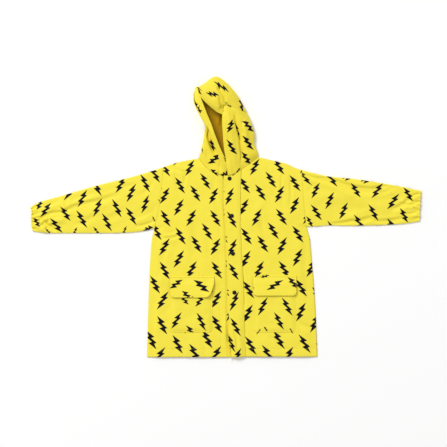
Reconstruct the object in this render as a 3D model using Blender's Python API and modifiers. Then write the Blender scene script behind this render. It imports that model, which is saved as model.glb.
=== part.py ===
"""A child's hooded raincoat, laid flat on its back with the sleeves spread.

The coat lies on the plane z = 0 with its hem towards -Y, its hood towards +Y and its front facing up.
Right and left are the wearer's, so the right sleeve points along -X. Each cut piece is a thin shell:
an open surface, worked out from the seam lines in the tables below, with a Solidify modifier.
Lengths in the tables are millimetres, and MM turns them into Blender's metres.
"""

import math

import bmesh
import bpy
from mathutils import Vector
from mathutils.bvhtree import BVHTree

MM = 0.001

for old in list(bpy.data.objects):
    bpy.data.objects.remove(old)
COAT = bpy.data.collections.new("raincoat")
bpy.context.scene.collection.children.link(COAT)

# Driving dimensions, in millimetres.
WALL = 1.2  # the coated cloth
BAND_WALL = 2.0  # the front band, cloth folded double
SEAM_GAP = 0.4  # between two pieces at a seam
LAY_GAP = 0.5  # between a piece and the one it lies on
LAP_GAP = 0.3  # between front and back at the side seams
FLOOR_LAYER = WALL / 2  # mid-height of the cloth that lies on the ground
SEAM_LAYER = FLOOR_LAYER + WALL + LAP_GAP  # mid-height of a front's sewn edge, on the back
FRONT_RISE = 2.6  # how far the fronts stand above their sewn edges
UNDERLAP_DROP = 1.1  # how far the right front dips to pass under the band
SLEEVE_RISE = 4.4  # height of a sleeve's upper layer above its lower one
LEAST_HOLLOW = 1.8  # the least height between a sleeve's two layers, mid to mid
EDGE_SHARE = 0.4  # height of a sleeve's rolled edge, as a share of SLEEVE_RISE
SNAP_RADIUS = 5.5
SNAP_HEIGHT = 1.9

# Seam lines seen from above, as (x, y) points along each.
RIGHT_SIDE = [(-208.5, -371), (-206.5, -290), (-203.5, -190), (-200, -115), (-195.5, -60), (-188, -29)]
RIGHT_ARMHOLE = [(-188, -29), (-182, 3), (-174, 42), (-170, 90), (-166, 131)]
RIGHT_SHOULDER = [(-166, 131), (-142, 140), (-106, 149), (-71, 155)]
RIGHT_NECK = [(-71, 155), (-58, 138), (-40, 122), (-20, 112), (-4, 109)]
UNDERLAP_NECK = [(-4, 109), (14, 111), (36, 120)]
UNDERLAP_EDGE = [(46, -371), (41, -190), (36, -20), (36, 120)]
LEFT_SIDE = [(242.5, -370), (239.5, -290), (234, -190), (228, -120), (223.5, -62), (218, -25)]
LEFT_ARMHOLE = [(218, -25), (212, 8), (207, 45), (204, 86), (202, 124)]
LEFT_SHOULDER = [(202, 124), (181, 131), (160, 141), (122, 150), (87, 158)]
LEFT_NECK = [(87, 158), (74, 148), (58, 136), (40, 123)]
BAND_SEAM = [(52, -370), (49, -288), (46, -180), (41, -85), (39, -20), (38, 50), (40, 123)]
BAND_EDGE = [(10, -371), (7, -300), (6, -230), (4, -130), (0, -30), (-4, 40), (-4, 109)]
BAND_TOP = [(-4, 109), (12, 111), (27, 116), (40, 123)]
BACK_NECK = [(-71, 155), (-45, 148), (8, 145), (60, 148), (87, 158)]

# Sleeve stations from the armhole to the cuff: the upper edge, the lower edge and the height of the puff.
SLEEVE_COLUMNS = ("upper_x", "upper_y", "lower_x", "lower_y", "puff")
RIGHT_SLEEVE = [
    (-166, 131, -188, -29, 1.00),
    (-205, 118.5, -220, -36.5, 1.00),
    (-264, 101.5, -266, -41, 1.02),
    (-325, 87, -325, -42, 1.05),
    (-390, 69, -390, -42, 1.08),
    (-440, 54, -440, -42, 1.10),
    (-476, 44.5, -476, -41.5, 1.15),
    (-499, 36.5, -499, -39, 1.12),
    (-517.6, 26, -517.6, -36, 1.05),
]
LEFT_SLEEVE = [
    (202, 124, 218, -25, 1.00),
    (230, 116.5, 240, -24, 1.00),
    (276, 106.5, 276, -21.5, 1.02),
    (329, 101.5, 329, -22.5, 1.05),
    (384, 94, 384, -21.5, 1.08),
    (430, 86, 430, -20, 1.10),
    (467, 79.5, 467, -17.5, 1.12),
    (499, 72.5, 499, -13.5, 1.10),
    (518.2, 69, 518.2, -10.5, 1.05),
]

# Where a sleeve's rings stand along it, from 0 at the armhole to 1 at the cuff, closer at the gathers.
SLEEVE_RINGS = [k / 13 for k in range(9)] + [0.68, 0.74, 0.79, 0.84, 0.88, 0.92, 0.955, 0.98, 1.0]
RING_STEPS = 34

# Soft folds: a ridge (or, with a negative height, a trough) from one point to another.
FOLD_COLUMNS = ("x0", "y0", "x1", "y1", "width", "height")
RIGHT_SLEEVE_FOLDS = [
    (-490, -6, -462, 10, 6, -1.6),
    (-466, 12, -405, 26, 9, -1.5),
    (-412, 24, -305, 54, 13, -1.3),
    (-488, -8, -462, -28, 6, -1.7),
    (-478, 2, -430, -6, 13, 1.6),
    (-480, 24, -440, 38, 9, 1.2),
    (-420, 8, -330, 30, 16, 1.2),
    (-450, 52, -446, 20, 8, -0.8),
    (-232, -22, -196, -12, 7, -1.4),
    (-236, -12, -200, 4, 9, 1.0),
]
LEFT_SLEEVE_FOLDS = [
    (206, 112, 276, 95, 8, -1.7),
    (270, 96, 330, 88, 9, -1.5),
    (290, -12, 332, -4, 7, -1.4),
    (330, -4, 380, 2, 8, -1.4),
    (378, 2, 402, -10, 6, -1.2),
    (300, 2, 372, 12, 12, 1.2),
    (420, -2, 462, 5, 7, 1.4),
    (404, 66, 440, 76, 6, -1.2),
    (458, 44, 494, 34, 5, -1.5),
    (468, 26, 500, 27, 5, -1.2),
    (236, 60, 330, 52, 22, 0.8),
]
BODY_FOLDS = [
    (-164, -54, -126, -48, 6, -0.9),
    (-138, 128, -104, 116, 6, -0.9),
    (150, 110, 151, 48, 6, -0.9),
    (171, 104, 170, 30, 6, -0.8),
    (212, -60, 222, -225, 12, -1.0),
    (-186, -215, -194, -355, 14, -0.9),
    (46, -150, 50, -225, 5, -1.2),
    (178, -262, 232, -296, 10, -0.9),
    (62, -330, 96, -362, 12, 0.9),
    (-120, -330, -96, -372, 12, 0.9),
    (-60, -318, -46, -371, 10, -0.8),
    (100, 60, 92, -60, 24, 0.7),
    (-110, 30, -104, -96, 26, 0.7),
]

# Patch pockets and their flaps: left, right, bottom and top edges, and the corner radius.
POCKET_COLUMNS = ("left", "right", "bottom", "top", "corner")
POCKETS = {
    "right": {"pocket": (-146, -36, -305, -171, 9), "flap": (-148, -31, -213, -163, 12)},
    "left": {"pocket": (75, 183, -305, -172, 9), "flap": (72, 187, -208, -164, 11)},
}
CORNER_STEPS = 3
FLAP_RAISE = 2.4  # how far a flap's lower edge stands off its pocket

# The press studs that fasten the front band.
SNAPS = [(10, 102), (16, 3), (19, -97), (23, -200)]
# A cap's profile from the middle of its top, in shares of its radius and height.
SNAP_PROFILE = [(0, 1), (0.47, 0.94), (0.76, 0.8), (0.95, 0.5), (1, 0.2), (0.97, 0), (0, 0)]

# Hood sides, one row for each section from the neck to the crown seam. A section starts at the face
# edge, crosses the upper layer, rounds the side and ends at the centre strip's seam on the lower layer.
# The neck seam itself is taken from the necklines above.
HOOD_COLUMNS = ("face", "inner", "middle", "outer", "side", "under", "seam")
HOOD_LEFT = [
    [(5, 111, 6.0), (23, 117, 6.5), (42, 126, 6.5), (66, 143, 5.0),
     (86, 159.5, 2.0), (70, 154, 0), (46, 150, 0)],
    [(1, 148, 12), (22, 150, 17), (42, 152, 11), (62, 160, 14),
     (83, 172, 7), (68, 172, 0), (46, 168, 0)],
    [(-5, 185, 19), (18, 187, 25), (38, 189, 17), (56, 190, 19),
     (75, 194, 8), (62, 192, 0), (46, 189, 0)],
    [(-8, 224, 26), (14, 226, 33), (34, 225, 23), (54, 222, 25),
     (75.5, 219, 9), (61, 216, 0), (46, 213, 0)],
    [(-9.5, 252, 30), (8, 257, 37), (25, 253, 27), (46, 249, 27),
     (67.5, 247, 9), (55, 241, 0), (44, 236, 0)],
    [(-9, 270, 30), (-4, 294, 31), (15, 292.5, 31.5), (38, 282, 26),
     (56, 276, 8), (48, 268, 0), (42, 260, 0)],
]
HOOD_RIGHT = [
    [(3, 110, 5.4), (-20, 113, 6.0), (-40, 123, 6.0), (-58, 139, 5.0),
     (-70, 156, 2.0), (-55, 152, 0), (-38, 149, 0)],
    [(-1, 143, 10), (-15, 146, 11), (-37, 150, 7), (-55, 158, 8),
     (-66, 169, 6), (-53, 167, 0), (-38, 164, 0)],
    [(-14, 180, 18), (-27, 176, 17), (-38, 180, 8), (-53, 184, 11),
     (-62.5, 186, 6), (-50, 183, 0), (-38, 181, 0)],
    [(-29, 220, 26), (-40, 215, 24), (-46, 217, 12), (-52, 220, 12),
     (-56, 222, 8), (-45, 218, 0), (-36, 214, 0)],
    [(-38, 245, 27), (-49, 241, 26), (-53, 243, 17), (-55.5, 245, 13),
     (-56, 247, 8), (-47, 243, 0), (-38, 238, 0)],
    [(-48.5, 270, 28), (-59, 266, 27), (-66, 268, 20), (-69, 270, 14),
     (-70, 273, 8), (-59, 268, 0), (-47, 262, 0)],
    [(-61, 302, 27), (-71, 299, 27), (-78, 300, 20), (-82, 302, 14),
     (-83.5, 304, 8), (-73, 300, 0), (-60, 293, 0)],
    [(-68, 320, 24), (-74, 321, 24), (-79, 322, 19), (-82, 323, 14),
     (-84, 324, 8), (-74, 318, 0), (-62, 311, 0)],
    [(-75, 345, 17), (-77, 344, 16), (-79, 342.5, 14), (-80.5, 340, 11),
     (-81, 337, 8), (-75, 331, 0), (-66, 324, 0)],
]
# The centre strip runs from the forehead over the crown and down the back to the neck, between the
# two side seams. These ribs, right to left, give its shape between them; the fifth row is the crest.
CROWN_COLUMNS = ("right_rib", "middle_rib", "left_rib")
CROWN_RIBS = [
    [(-62, 313, 27), (-44, 294, 29), (-25, 278, 30)],
    [(-60, 329, 32), (-40, 310, 36), (-22, 291, 36)],
    [(-62, 341, 27), (-34, 336, 35), (-7, 311, 36)],
    [(-60, 348, 17), (-27, 358, 23), (13, 325, 26)],
    [(-58, 351.5, 7.5), (-23, 371, 8), (22, 333, 8.5)],
    [(-54, 344, 0), (-21, 358, 0), (16, 321, 0)],
    [(-48, 330, 0), (-18, 335, 0), (14, 300, 0)],
    [(-42, 300, 0), (-12, 302, 0), (14, 278, 0)],
    [(-36, 262, 0), (-4, 262, 0), (24, 248, 0)],
    [(-32, 222, 0), (2, 222, 0), (28, 214, 0)],
    [(-28, 184, 0), (4, 184, 0), (30, 182, 0)],
    [(-24, 148, 0), (4, 147, 0), (30, 148, 0)],
]
HOOD_STEPS_ACROSS = 18
HOOD_STEPS_UP = 12
HOOD_TOP_STEPS = 11  # of the steps across, those on the upper layer
STRIP_STEPS = 10
STRIP_BACK = (7 / 24, 17 / 24)  # the centre strip's share of the back's neckline
CORNER_EASE = 0.9  # how far the hood stands off the shoulder seam's end
RIGHT_CHIN = (3, 109.8, 5.6)  # where the right side of the hood ends, under the chin
HOOD_SEAM_GAP = 0.7  # wider, as the seams curve in space

# Faces along each seam. Pieces that meet share these, so that their edges follow each other.
SIDE_STEPS, ARMHOLE_STEPS, SHOULDER_STEPS = 12, 6, 4
NECK_STEPS = HOOD_TOP_STEPS
BAND_STEPS = 5
BACK_NECK_STEPS = 12


def row(columns, values):
    """A table row as a dict of its named columns."""
    return dict(zip(columns, values))


def smooth(t):
    """0 to 1 with soft ends, for t from 0 to 1."""
    t = min(max(t, 0.0), 1.0)
    return t * t * (3 - 2 * t)


def curve_at(points, t):
    """The point at t, from 0 to 1, on the smooth curve through the points."""
    points = [Vector(p) for p in points]
    last = len(points) - 1
    place = min(max(t, 0.0), 1.0) * last
    i = min(int(place), last - 1)
    f = place - i
    p1, p2 = points[i], points[i + 1]
    p0 = points[i - 1] if i > 0 else 2 * p1 - p2
    p3 = points[i + 2] if i + 2 <= last else 2 * p2 - p1
    return 0.5 * (
        2 * p1
        + (p2 - p0) * f
        + (2 * p0 - 5 * p1 + 4 * p2 - p3) * f ** 2
        + (3 * p1 - p0 - 3 * p2 + p3) * f ** 3
    )


def samples(points, steps):
    """steps + 1 points along the curve."""
    return [curve_at(points, i / steps) for i in range(steps + 1)]


def joined(*runs):
    """Runs of points that meet end to end, as one list."""
    points = list(runs[0])
    for run in runs[1:]:
        points += run[1:]
    return points


def coons(bottom, top, left, right):
    """A grid of points, in rows from bottom to top, between four edges that meet at the corners."""
    across, up = len(bottom) - 1, len(left) - 1
    grid = []
    for j in range(up + 1):
        v = j / up
        line = []
        for i in range(across + 1):
            u = i / across
            ruled = (1 - v) * bottom[i] + v * top[i] + (1 - u) * left[j] + u * right[j]
            corners = (
                (1 - u) * (1 - v) * bottom[0]
                + u * (1 - v) * bottom[-1]
                + (1 - u) * v * top[0]
                + u * v * top[-1]
            )
            line.append(ruled - corners)
        grid.append(line)
    return grid


def fold_height(folds, x, y):
    """The height that the folds of a table add at a point."""
    total = 0.0
    for values in folds:
        fold = row(FOLD_COLUMNS, values)
        start = Vector((fold["x0"], fold["y0"]))
        along = Vector((fold["x1"], fold["y1"])) - start
        offset = Vector((x, y)) - start
        t = offset.dot(along) / along.length_squared
        side = abs(offset.cross(along)) / along.length
        past = max(-t, t - 1, 0.0) * along.length
        middle = 1 - 0.5 * abs(2 * min(max(t, 0.0), 1.0) - 1) ** 2
        total += fold["height"] * middle * math.exp(-((side ** 2 + past ** 2) / fold["width"] ** 2))
    return total


def dome(w, power):
    """1 in the middle of a width, falling to 0 at its two ends."""
    return max(0.0, 1 - abs(2 * w - 1) ** power) ** (1 / power)


def material(name, colour, roughness):
    """A plain material of its own name."""
    made = bpy.data.materials.new(name)
    made.use_nodes = True
    shader = made.node_tree.nodes["Principled BSDF"]
    shader.inputs["Base Color"].default_value = (*colour, 1)
    shader.inputs["Roughness"].default_value = roughness
    return made


def pull_in_edges(bm, distance):
    """Moves the open edges of a surface inwards, in its own plane, by the distance."""
    moves = {}
    for edge in bm.edges:
        if not edge.is_boundary:
            continue
        along = (edge.verts[1].co - edge.verts[0].co).normalized()
        inward = edge.link_faces[0].calc_center_median() - edge.verts[0].co
        inward = (inward - inward.dot(along) * along).normalized()
        for vert in edge.verts:
            moves.setdefault(vert, []).append(inward)
    for vert, sides in moves.items():
        total = sum(sides, Vector((0, 0, 0)))
        vert.co += distance * total / max(1 + sides[0].dot(sides[-1]), 0.5)


def cloth(name, grid, finish, wall=WALL, ring=False, pull=SEAM_GAP / 2):
    """One cut piece: a grid of mid-surface points, in millimetres, thickened to the wall."""
    across, up = len(grid[0]) - 1, len(grid) - 1
    bm = bmesh.new()
    bmesh.ops.create_grid(bm, x_segments=across, y_segments=up, size=0.5)
    for vert in bm.verts:
        i, j = round((vert.co.x + 0.5) * across), round((vert.co.y + 0.5) * up)
        vert.co = grid[j][i] * MM
    if ring:
        bmesh.ops.remove_doubles(bm, verts=bm.verts, dist=1e-6)
    pull_in_edges(bm, pull * MM)
    mesh = bpy.data.meshes.new(name)
    bm.to_mesh(mesh)
    bm.free()
    mesh.materials.append(finish)
    mesh.shade_smooth()
    piece = bpy.data.objects.new(name, mesh)
    COAT.objects.link(piece)
    shell = piece.modifiers.new("wall", "SOLIDIFY")
    shell.thickness = wall * MM
    shell.offset = 0
    shell.use_even_offset = True
    shell.use_rim = True
    return piece


def raised(grid, height):
    """The grid with each point's z set by height(u, v, x, y)."""
    up, across = len(grid) - 1, len(grid[0]) - 1
    return [
        [Vector((p.x, p.y, height(i / across, j / up, p.x, p.y))) for i, p in enumerate(line)]
        for j, line in enumerate(grid)
    ]


def flat(points):
    """Points of a plan as 3-D points on the ground."""
    return [Vector((x, y, 0)) for x, y in points]


def build_back(finish):
    """The back, one flat layer on the ground."""
    left = joined(samples(flat(RIGHT_SIDE), 8), samples(flat(RIGHT_ARMHOLE), 4))
    right = joined(samples(flat(LEFT_SIDE), 8), samples(flat(LEFT_ARMHOLE), 4))
    top = joined(
        samples(flat(RIGHT_SHOULDER), SHOULDER_STEPS),
        samples(flat(BACK_NECK), BACK_NECK_STEPS),
        samples(flat(LEFT_SHOULDER[::-1]), SHOULDER_STEPS),
    )
    hem = samples([left[0], right[0]], len(top) - 1)
    grid = raised(coons(hem, top, left, right), lambda u, v, x, y: FLOOR_LAYER)
    return cloth("back", grid, finish)


def front_rise(side_share, from_side, from_top, top_share):
    """How much of FRONT_RISE a front has, from its distances to the sewn edges, in millimetres."""
    across = side_share + (1 - side_share) * smooth(from_side / 34)
    down = top_share + (1 - top_share) * smooth(from_top / 26)
    return across * down


def front_grid(side, armhole, shoulder, neck, edge):
    """A front's grid, rows from hem to top and columns from the side seam to the front edge."""
    outer = joined(samples(flat(side), SIDE_STEPS), samples(flat(armhole), ARMHOLE_STEPS))
    top = joined(samples(flat(shoulder), SHOULDER_STEPS), *neck)
    inner = samples(flat(edge), SIDE_STEPS + ARMHOLE_STEPS)
    hem = samples([outer[0], inner[0]], len(top) - 1)
    grid = coons(hem, top, outer, inner)
    armpit = SIDE_STEPS / (SIDE_STEPS + ARMHOLE_STEPS)
    shoulder_end = SHOULDER_STEPS / (len(top) - 1)
    width, length = (hem[-1] - hem[0]).length, top[0].y - hem[0].y

    def height(u, v, x, y):
        side_share = dome((v - armpit) / (1 - armpit), 3) if v > armpit else 0.0
        top_share = smooth((u / shoulder_end - 1) * 2) * 1.25 if u > shoulder_end else 0.0
        rise = front_rise(side_share, u * width, (1 - v) * length, top_share)
        return SEAM_LAYER + FRONT_RISE * rise + fold_height(BODY_FOLDS, x, y) * min(rise, 1)

    return raised(grid, height)


def build_right_front(finish):
    """The right front, whose underlap dips to pass below the band, and its neckline."""
    neck = (samples(flat(RIGHT_NECK), NECK_STEPS), samples(flat(UNDERLAP_NECK), 3))
    grid = front_grid(RIGHT_SIDE, RIGHT_ARMHOLE, RIGHT_SHOULDER, neck, UNDERLAP_EDGE)
    band_edge = samples(BAND_EDGE, 24)
    for line in grid:
        for p in line:
            near = min(band_edge, key=lambda q: abs(q.y - p.y))
            p.z -= UNDERLAP_DROP * smooth((p.x - near.x + 12) / 10)
    return cloth("front_right", grid, finish), grid[-1][SHOULDER_STEPS : SHOULDER_STEPS + NECK_STEPS + 1]


def build_left_front(finish):
    """The left front, which ends at the band's seam, and its neckline."""
    neck = (samples(flat(LEFT_NECK), NECK_STEPS - BAND_STEPS + 1),)
    seam = [(x + SEAM_GAP, y) for x, y in BAND_SEAM]
    grid = front_grid(LEFT_SIDE, LEFT_ARMHOLE, LEFT_SHOULDER, neck, seam)
    neckline = grid[-1][SHOULDER_STEPS:]
    grid = [line[::-1] for line in grid]
    return cloth("front_left", grid, finish), neckline


def band_height(u, v):
    """Mid-height of the front band: flat where it is fastened, waved where it hangs free at the hem."""
    lowest = SEAM_LAYER + FRONT_RISE - UNDERLAP_DROP + WALL / 2 + LAY_GAP + BAND_WALL / 2
    free = 1 - smooth(v / 0.3)
    lift = free * (4.2 * (1 - smooth(u / 0.55)) + 1.6 * math.sin(math.pi * u) ** 2)
    return lowest + 0.9 * smooth((v - 0.93) / 0.07) + lift


def build_band(finish):
    """The front band, folded double, and its top edge."""
    steps_up, steps_across = 26, BAND_STEPS
    hem = samples(flat([BAND_EDGE[0], BAND_SEAM[0]]), steps_across)
    top = samples(flat(BAND_TOP), steps_across)
    left, right = samples(flat(BAND_EDGE), steps_up), samples(flat(BAND_SEAM), steps_up)
    grid = raised(coons(hem, top, left, right), lambda u, v, x, y: band_height(u, v))
    return cloth("front_band", grid, finish, wall=BAND_WALL), grid[-1]


def sleeve_grid(stations, armhole, folds, outward):
    """A sleeve as rings from armhole to cuff. A ring crosses the upper layer and comes back below."""
    shape = [row(SLEEVE_COLUMNS, values) for values in stations]
    upper = [(s["upper_x"], s["upper_y"], s["puff"]) for s in shape]
    lower = [(s["lower_x"], s["lower_y"], s["puff"]) for s in shape]
    low_end, high_end = Vector(armhole[0]), Vector(armhole[-1])
    rings = []
    for s in SLEEVE_RINGS:
        high, low = curve_at(upper, s), curve_at(lower, s)
        cuff = smooth((s - 0.72) / 0.28)
        ring = []
        for k in range(RING_STEPS + 1):
            turn = 2 * math.pi * k / RING_STEPS
            on_top = k <= RING_STEPS // 2
            w = 0.5 - 0.5 * math.cos(turn)
            p = low.lerp(high, w)
            bow = curve_at(armhole, w) - low_end.lerp(high_end, w)
            p.x += bow.x * (1 - smooth(s / 0.35)) + outward * SEAM_GAP
            p.y += bow.y * (1 - smooth(s / 0.35))
            rise = SLEEVE_RISE * high.z
            edge = rise * EDGE_SHARE
            if on_top:
                roof = dome(w, 3)
                gather = cuff * 0.9 * math.sin(7 * 2 * math.pi * w + 0.6) * roof
                z = edge + (rise - edge) * roof + gather + fold_height(folds, p.x, p.y) * roof
                if roof > 0.5:
                    z = max(z, LEAST_HOLLOW)
            else:
                z = edge * max(0.0, 1 - dome(w, 8) / 0.97)
            ring.append(Vector((p.x, p.y, FLOOR_LAYER + z)))
        ring[-1] = ring[0].copy()
        rings.append(ring)
    return rings


def build_sleeves(finish):
    """The two sleeves, flattened tubes open at the armhole and at the gathered cuff."""
    right = sleeve_grid(RIGHT_SLEEVE, RIGHT_ARMHOLE, RIGHT_SLEEVE_FOLDS, -1)
    left = sleeve_grid(LEFT_SLEEVE, LEFT_ARMHOLE, LEFT_SLEEVE_FOLDS, 1)
    cloth("sleeve_right", right, finish, ring=True, pull=0)
    cloth("sleeve_left", left, finish, ring=True, pull=0)


def top_of(*pieces):
    """A function that gives the height, in millimetres, of the highest face at a point."""
    bpy.context.view_layer.update()
    graph = bpy.context.evaluated_depsgraph_get()
    trees = [BVHTree.FromObject(piece, graph) for piece in pieces]

    def height(x, y):
        found = [tree.ray_cast(Vector((x * MM, y * MM, 1)), Vector((0, 0, -1)))[0] for tree in trees]
        return max(hit.z / MM for hit in found if hit is not None)

    return height


def patch_outline(left, right, bottom, top, corner, steps_across, steps_up):
    """A rectangle's grid whose two lower corners are rounded, with columns closer together in them."""
    turns = [math.pi / 2 * k / CORNER_STEPS for k in range(CORNER_STEPS)]
    inner = (right - left - 2 * corner) / steps_across
    low = [(left + corner * (1 - math.cos(a)), bottom + corner * (1 - math.sin(a))) for a in turns]
    low += [(left + corner + inner * i, bottom) for i in range(steps_across + 1)]
    low += [(left + right - x, y) for x, y in low[CORNER_STEPS - 1 :: -1]]
    return [
        [Vector((x, y + (top - y) * j / steps_up, 0)) for x, y in low]
        for j in range(steps_up + 1)
    ]


def build_pockets(finish, fronts):
    """Patch pockets lie on the fronts, and each flap is sewn above its pocket and lies on it."""
    for side, front in fronts.items():
        under = top_of(front)
        pocket = patch_outline(**row(POCKET_COLUMNS, POCKETS[side]["pocket"]), steps_across=6, steps_up=8)
        on_front = LAY_GAP + WALL / 2
        pocket = raised(pocket, lambda u, v, x, y: under(x, y) + on_front)
        cloth(f"pocket_{side}", pocket, finish)
        flap = patch_outline(**row(POCKET_COLUMNS, POCKETS[side]["flap"]), steps_across=7, steps_up=5)
        step = WALL + LAY_GAP

        def flap_height(u, v, x, y, under=under):
            lift = FLAP_RAISE * (1 - v) ** 2
            return under(x, y) + on_front + step * smooth((1 - v) / 0.12) + lift

        cloth(f"pocket_flap_{side}", raised(flap, flap_height), finish)


def build_snaps(finish, band):
    """Domed stud caps, turned from a profile, seated on the band."""
    under = top_of(band)
    for number, (x, y) in enumerate(SNAPS, 1):
        mesh = bpy.data.meshes.new(f"snap_{number}")
        bm = bmesh.new()
        points = [bm.verts.new((r * SNAP_RADIUS * MM, 0, z * SNAP_HEIGHT * MM)) for r, z in SNAP_PROFILE]
        for a, b in zip(points, points[1:]):
            bm.edges.new((a, b))
        bm.to_mesh(mesh)
        bm.free()
        mesh.materials.append(finish)
        cap = bpy.data.objects.new(f"snap_{number}", mesh)
        cap.location = (x * MM, y * MM, (under(x, y) + LAP_GAP) * MM)
        COAT.objects.link(cap)
        turn = cap.modifiers.new("turn", "SCREW")
        turn.steps = turn.render_steps = 18
        turn.use_merge_vertices = True
        turn.merge_threshold = 0.00001
        turn.use_smooth_shade = True


def hood_side_grid(table):
    """A hood side's grid, rows from the neck seam up and columns from the face edge round to the strip."""
    top_share = HOOD_TOP_STEPS / HOOD_STEPS_ACROSS
    side_place = HOOD_COLUMNS.index("side") / (len(HOOD_COLUMNS) - 1)
    grid = []
    for j in range(HOOD_STEPS_UP + 1):
        places = range(len(HOOD_COLUMNS))
        section = [curve_at([line[k] for line in table], j / HOOD_STEPS_UP) for k in places]
        line = []
        for i in range(HOOD_STEPS_ACROSS + 1):
            t = i / HOOD_STEPS_ACROSS
            if t <= top_share:
                place = side_place * t / top_share
            else:
                place = side_place + (1 - side_place) * (t - top_share) / (1 - top_share)
            p = curve_at(section, place)
            line.append(Vector((p.x, p.y, FLOOR_LAYER + max(p.z, 0.0))))
        grid.append(line)
    return grid


def fit_neck(grid, neckline, back_share):
    """Puts a side's first row on the neck seam: the fronts' neckline above, the back's below."""
    lower = HOOD_STEPS_ACROSS - HOOD_TOP_STEPS
    back = flat(BACK_NECK)
    for i in range(HOOD_TOP_STEPS):
        grid[0][i] = neckline[i].copy()
    for i in range(lower + 1):
        p = curve_at(back, back_share[0] + (back_share[1] - back_share[0]) * i / lower)
        p.z = FLOOR_LAYER
        grid[0][HOOD_TOP_STEPS + i] = p
    corner = grid[0][HOOD_TOP_STEPS]
    corner.z = (FLOOR_LAYER + SEAM_LAYER) / 2
    corner += CORNER_EASE * (grid[1][HOOD_TOP_STEPS] - corner).normalized()


def strip_grid(right, left):
    """The centre strip's grid, rows from the forehead over the crown and under to the neck."""
    right_seam = right[-1] + [line[-1] for line in right[-2::-1]]
    left_seam = left[-1] + [line[-1] for line in left[-2::-1]]
    steps = len(right_seam) - 1
    grid = []
    for j in range(steps + 1):
        ribs = [curve_at([line[k] for line in CROWN_RIBS], j / steps) for k in range(len(CROWN_COLUMNS))]
        ribs = [Vector((p.x, p.y, FLOOR_LAYER + max(p.z, 0.0))) for p in ribs]
        line = samples([right_seam[j], *ribs, left_seam[j]], STRIP_STEPS)
        grid.append([Vector((p.x, p.y, max(p.z, FLOOR_LAYER))) for p in line])
    first, last = STRIP_BACK
    for i in range(STRIP_STEPS + 1):
        p = curve_at(flat(BACK_NECK), first + (last - first) * i / STRIP_STEPS)
        grid[-1][i] = Vector((p.x, p.y, FLOOR_LAYER))
    return grid


def build_hood(finish, right_neck, left_neck, band_top):
    """The hood's three pieces, sewn to the necklines and open at the face."""
    right, left = hood_side_grid(HOOD_RIGHT), hood_side_grid(HOOD_LEFT)
    right_neck = right_neck[::-1]
    right_neck[0] = Vector(RIGHT_CHIN)
    fit_neck(right, right_neck, (0, STRIP_BACK[0]))
    fit_neck(left, band_top[1:] + left_neck[-2::-1], (1, STRIP_BACK[1]))
    cloth("hood_right", right, finish, pull=HOOD_SEAM_GAP / 2)
    cloth("hood_left", left, finish, pull=HOOD_SEAM_GAP / 2)
    cloth("hood_centre", strip_grid(right, left), finish, pull=HOOD_SEAM_GAP / 2)


yellow = material("printed_cloth", (0.90, 0.76, 0.06), 0.5)
black = material("snap_caps", (0.02, 0.02, 0.025), 0.35)

build_back(yellow)
front_right, right_neckline = build_right_front(yellow)
front_left, left_neckline = build_left_front(yellow)
band, band_top = build_band(yellow)
build_sleeves(yellow)
build_pockets(yellow, {"right": front_right, "left": front_left})
build_snaps(black, band)
build_hood(yellow, right_neckline, left_neckline, band_top)
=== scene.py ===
import math

import bmesh
import bpy
import numpy as np
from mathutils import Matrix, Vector
from mathutils.bvhtree import BVHTree


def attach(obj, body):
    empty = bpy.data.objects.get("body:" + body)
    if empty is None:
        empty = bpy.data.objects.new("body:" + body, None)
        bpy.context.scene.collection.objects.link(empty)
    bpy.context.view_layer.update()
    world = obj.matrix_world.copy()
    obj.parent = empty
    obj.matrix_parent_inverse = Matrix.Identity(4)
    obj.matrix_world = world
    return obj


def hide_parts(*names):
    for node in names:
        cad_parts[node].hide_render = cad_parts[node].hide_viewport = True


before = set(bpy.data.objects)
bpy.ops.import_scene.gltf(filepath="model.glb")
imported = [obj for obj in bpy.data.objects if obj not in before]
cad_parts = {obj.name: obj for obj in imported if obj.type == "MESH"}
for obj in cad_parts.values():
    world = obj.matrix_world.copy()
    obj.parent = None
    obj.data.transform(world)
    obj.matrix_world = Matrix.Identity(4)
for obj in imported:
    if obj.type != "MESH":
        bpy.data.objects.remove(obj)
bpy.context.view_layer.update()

scene = bpy.context.scene

# ---- Board, lamps and camera ----
# The coat is laid out on a pale matt board. One broad soft lamp stands beyond the hood, on the side
# of the wearer's right sleeve, even light comes from all round, and the camera looks straight down.
BOARD_SIDE = 9.0
BOARD_DROP = 0.0004
BOARD_WHITES = ((0.985, 0.985, 0.98, 1), (1, 1, 1, 1))
LAMP_PLACE = (-3.8, 5.2, 6.6)
LAMP_SIDE = 3.4
LAMP_POWER = 500
SKY_STRENGTH = 0.62
CAMERA_PLACE = (-0.006, -0.0172, 6.581)
CAMERA_LENS = 200
CAMERA_SENSOR = 36


def add_node(tree, kind, values=(), **settings):
    """A shader node with its settings and its input values or links, given in order or by name."""
    made = tree.nodes.new(kind)
    for name, value in settings.items():
        setattr(made, name, value)
    for key, value in values.items() if isinstance(values, dict) else enumerate(values):
        if isinstance(value, bpy.types.NodeSocket):
            tree.links.new(value, made.inputs[key])
        else:
            made.inputs[key].default_value = value
    return made.outputs[0]


def blended(tree, share, first, second):
    """The node output of a colour between two others."""
    values = {0: share, 6: first, 7: second}
    return add_node(tree, "ShaderNodeMix", values, data_type="RGBA", clamp_factor=True).node.outputs[2]


def new_look(name, roughness):
    """A material, its node tree and its shader."""
    made = bpy.data.materials.new(name)
    made.use_nodes = True
    shader = made.node_tree.nodes["Principled BSDF"]
    shader.inputs["Roughness"].default_value = roughness
    return made, made.node_tree, shader


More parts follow.
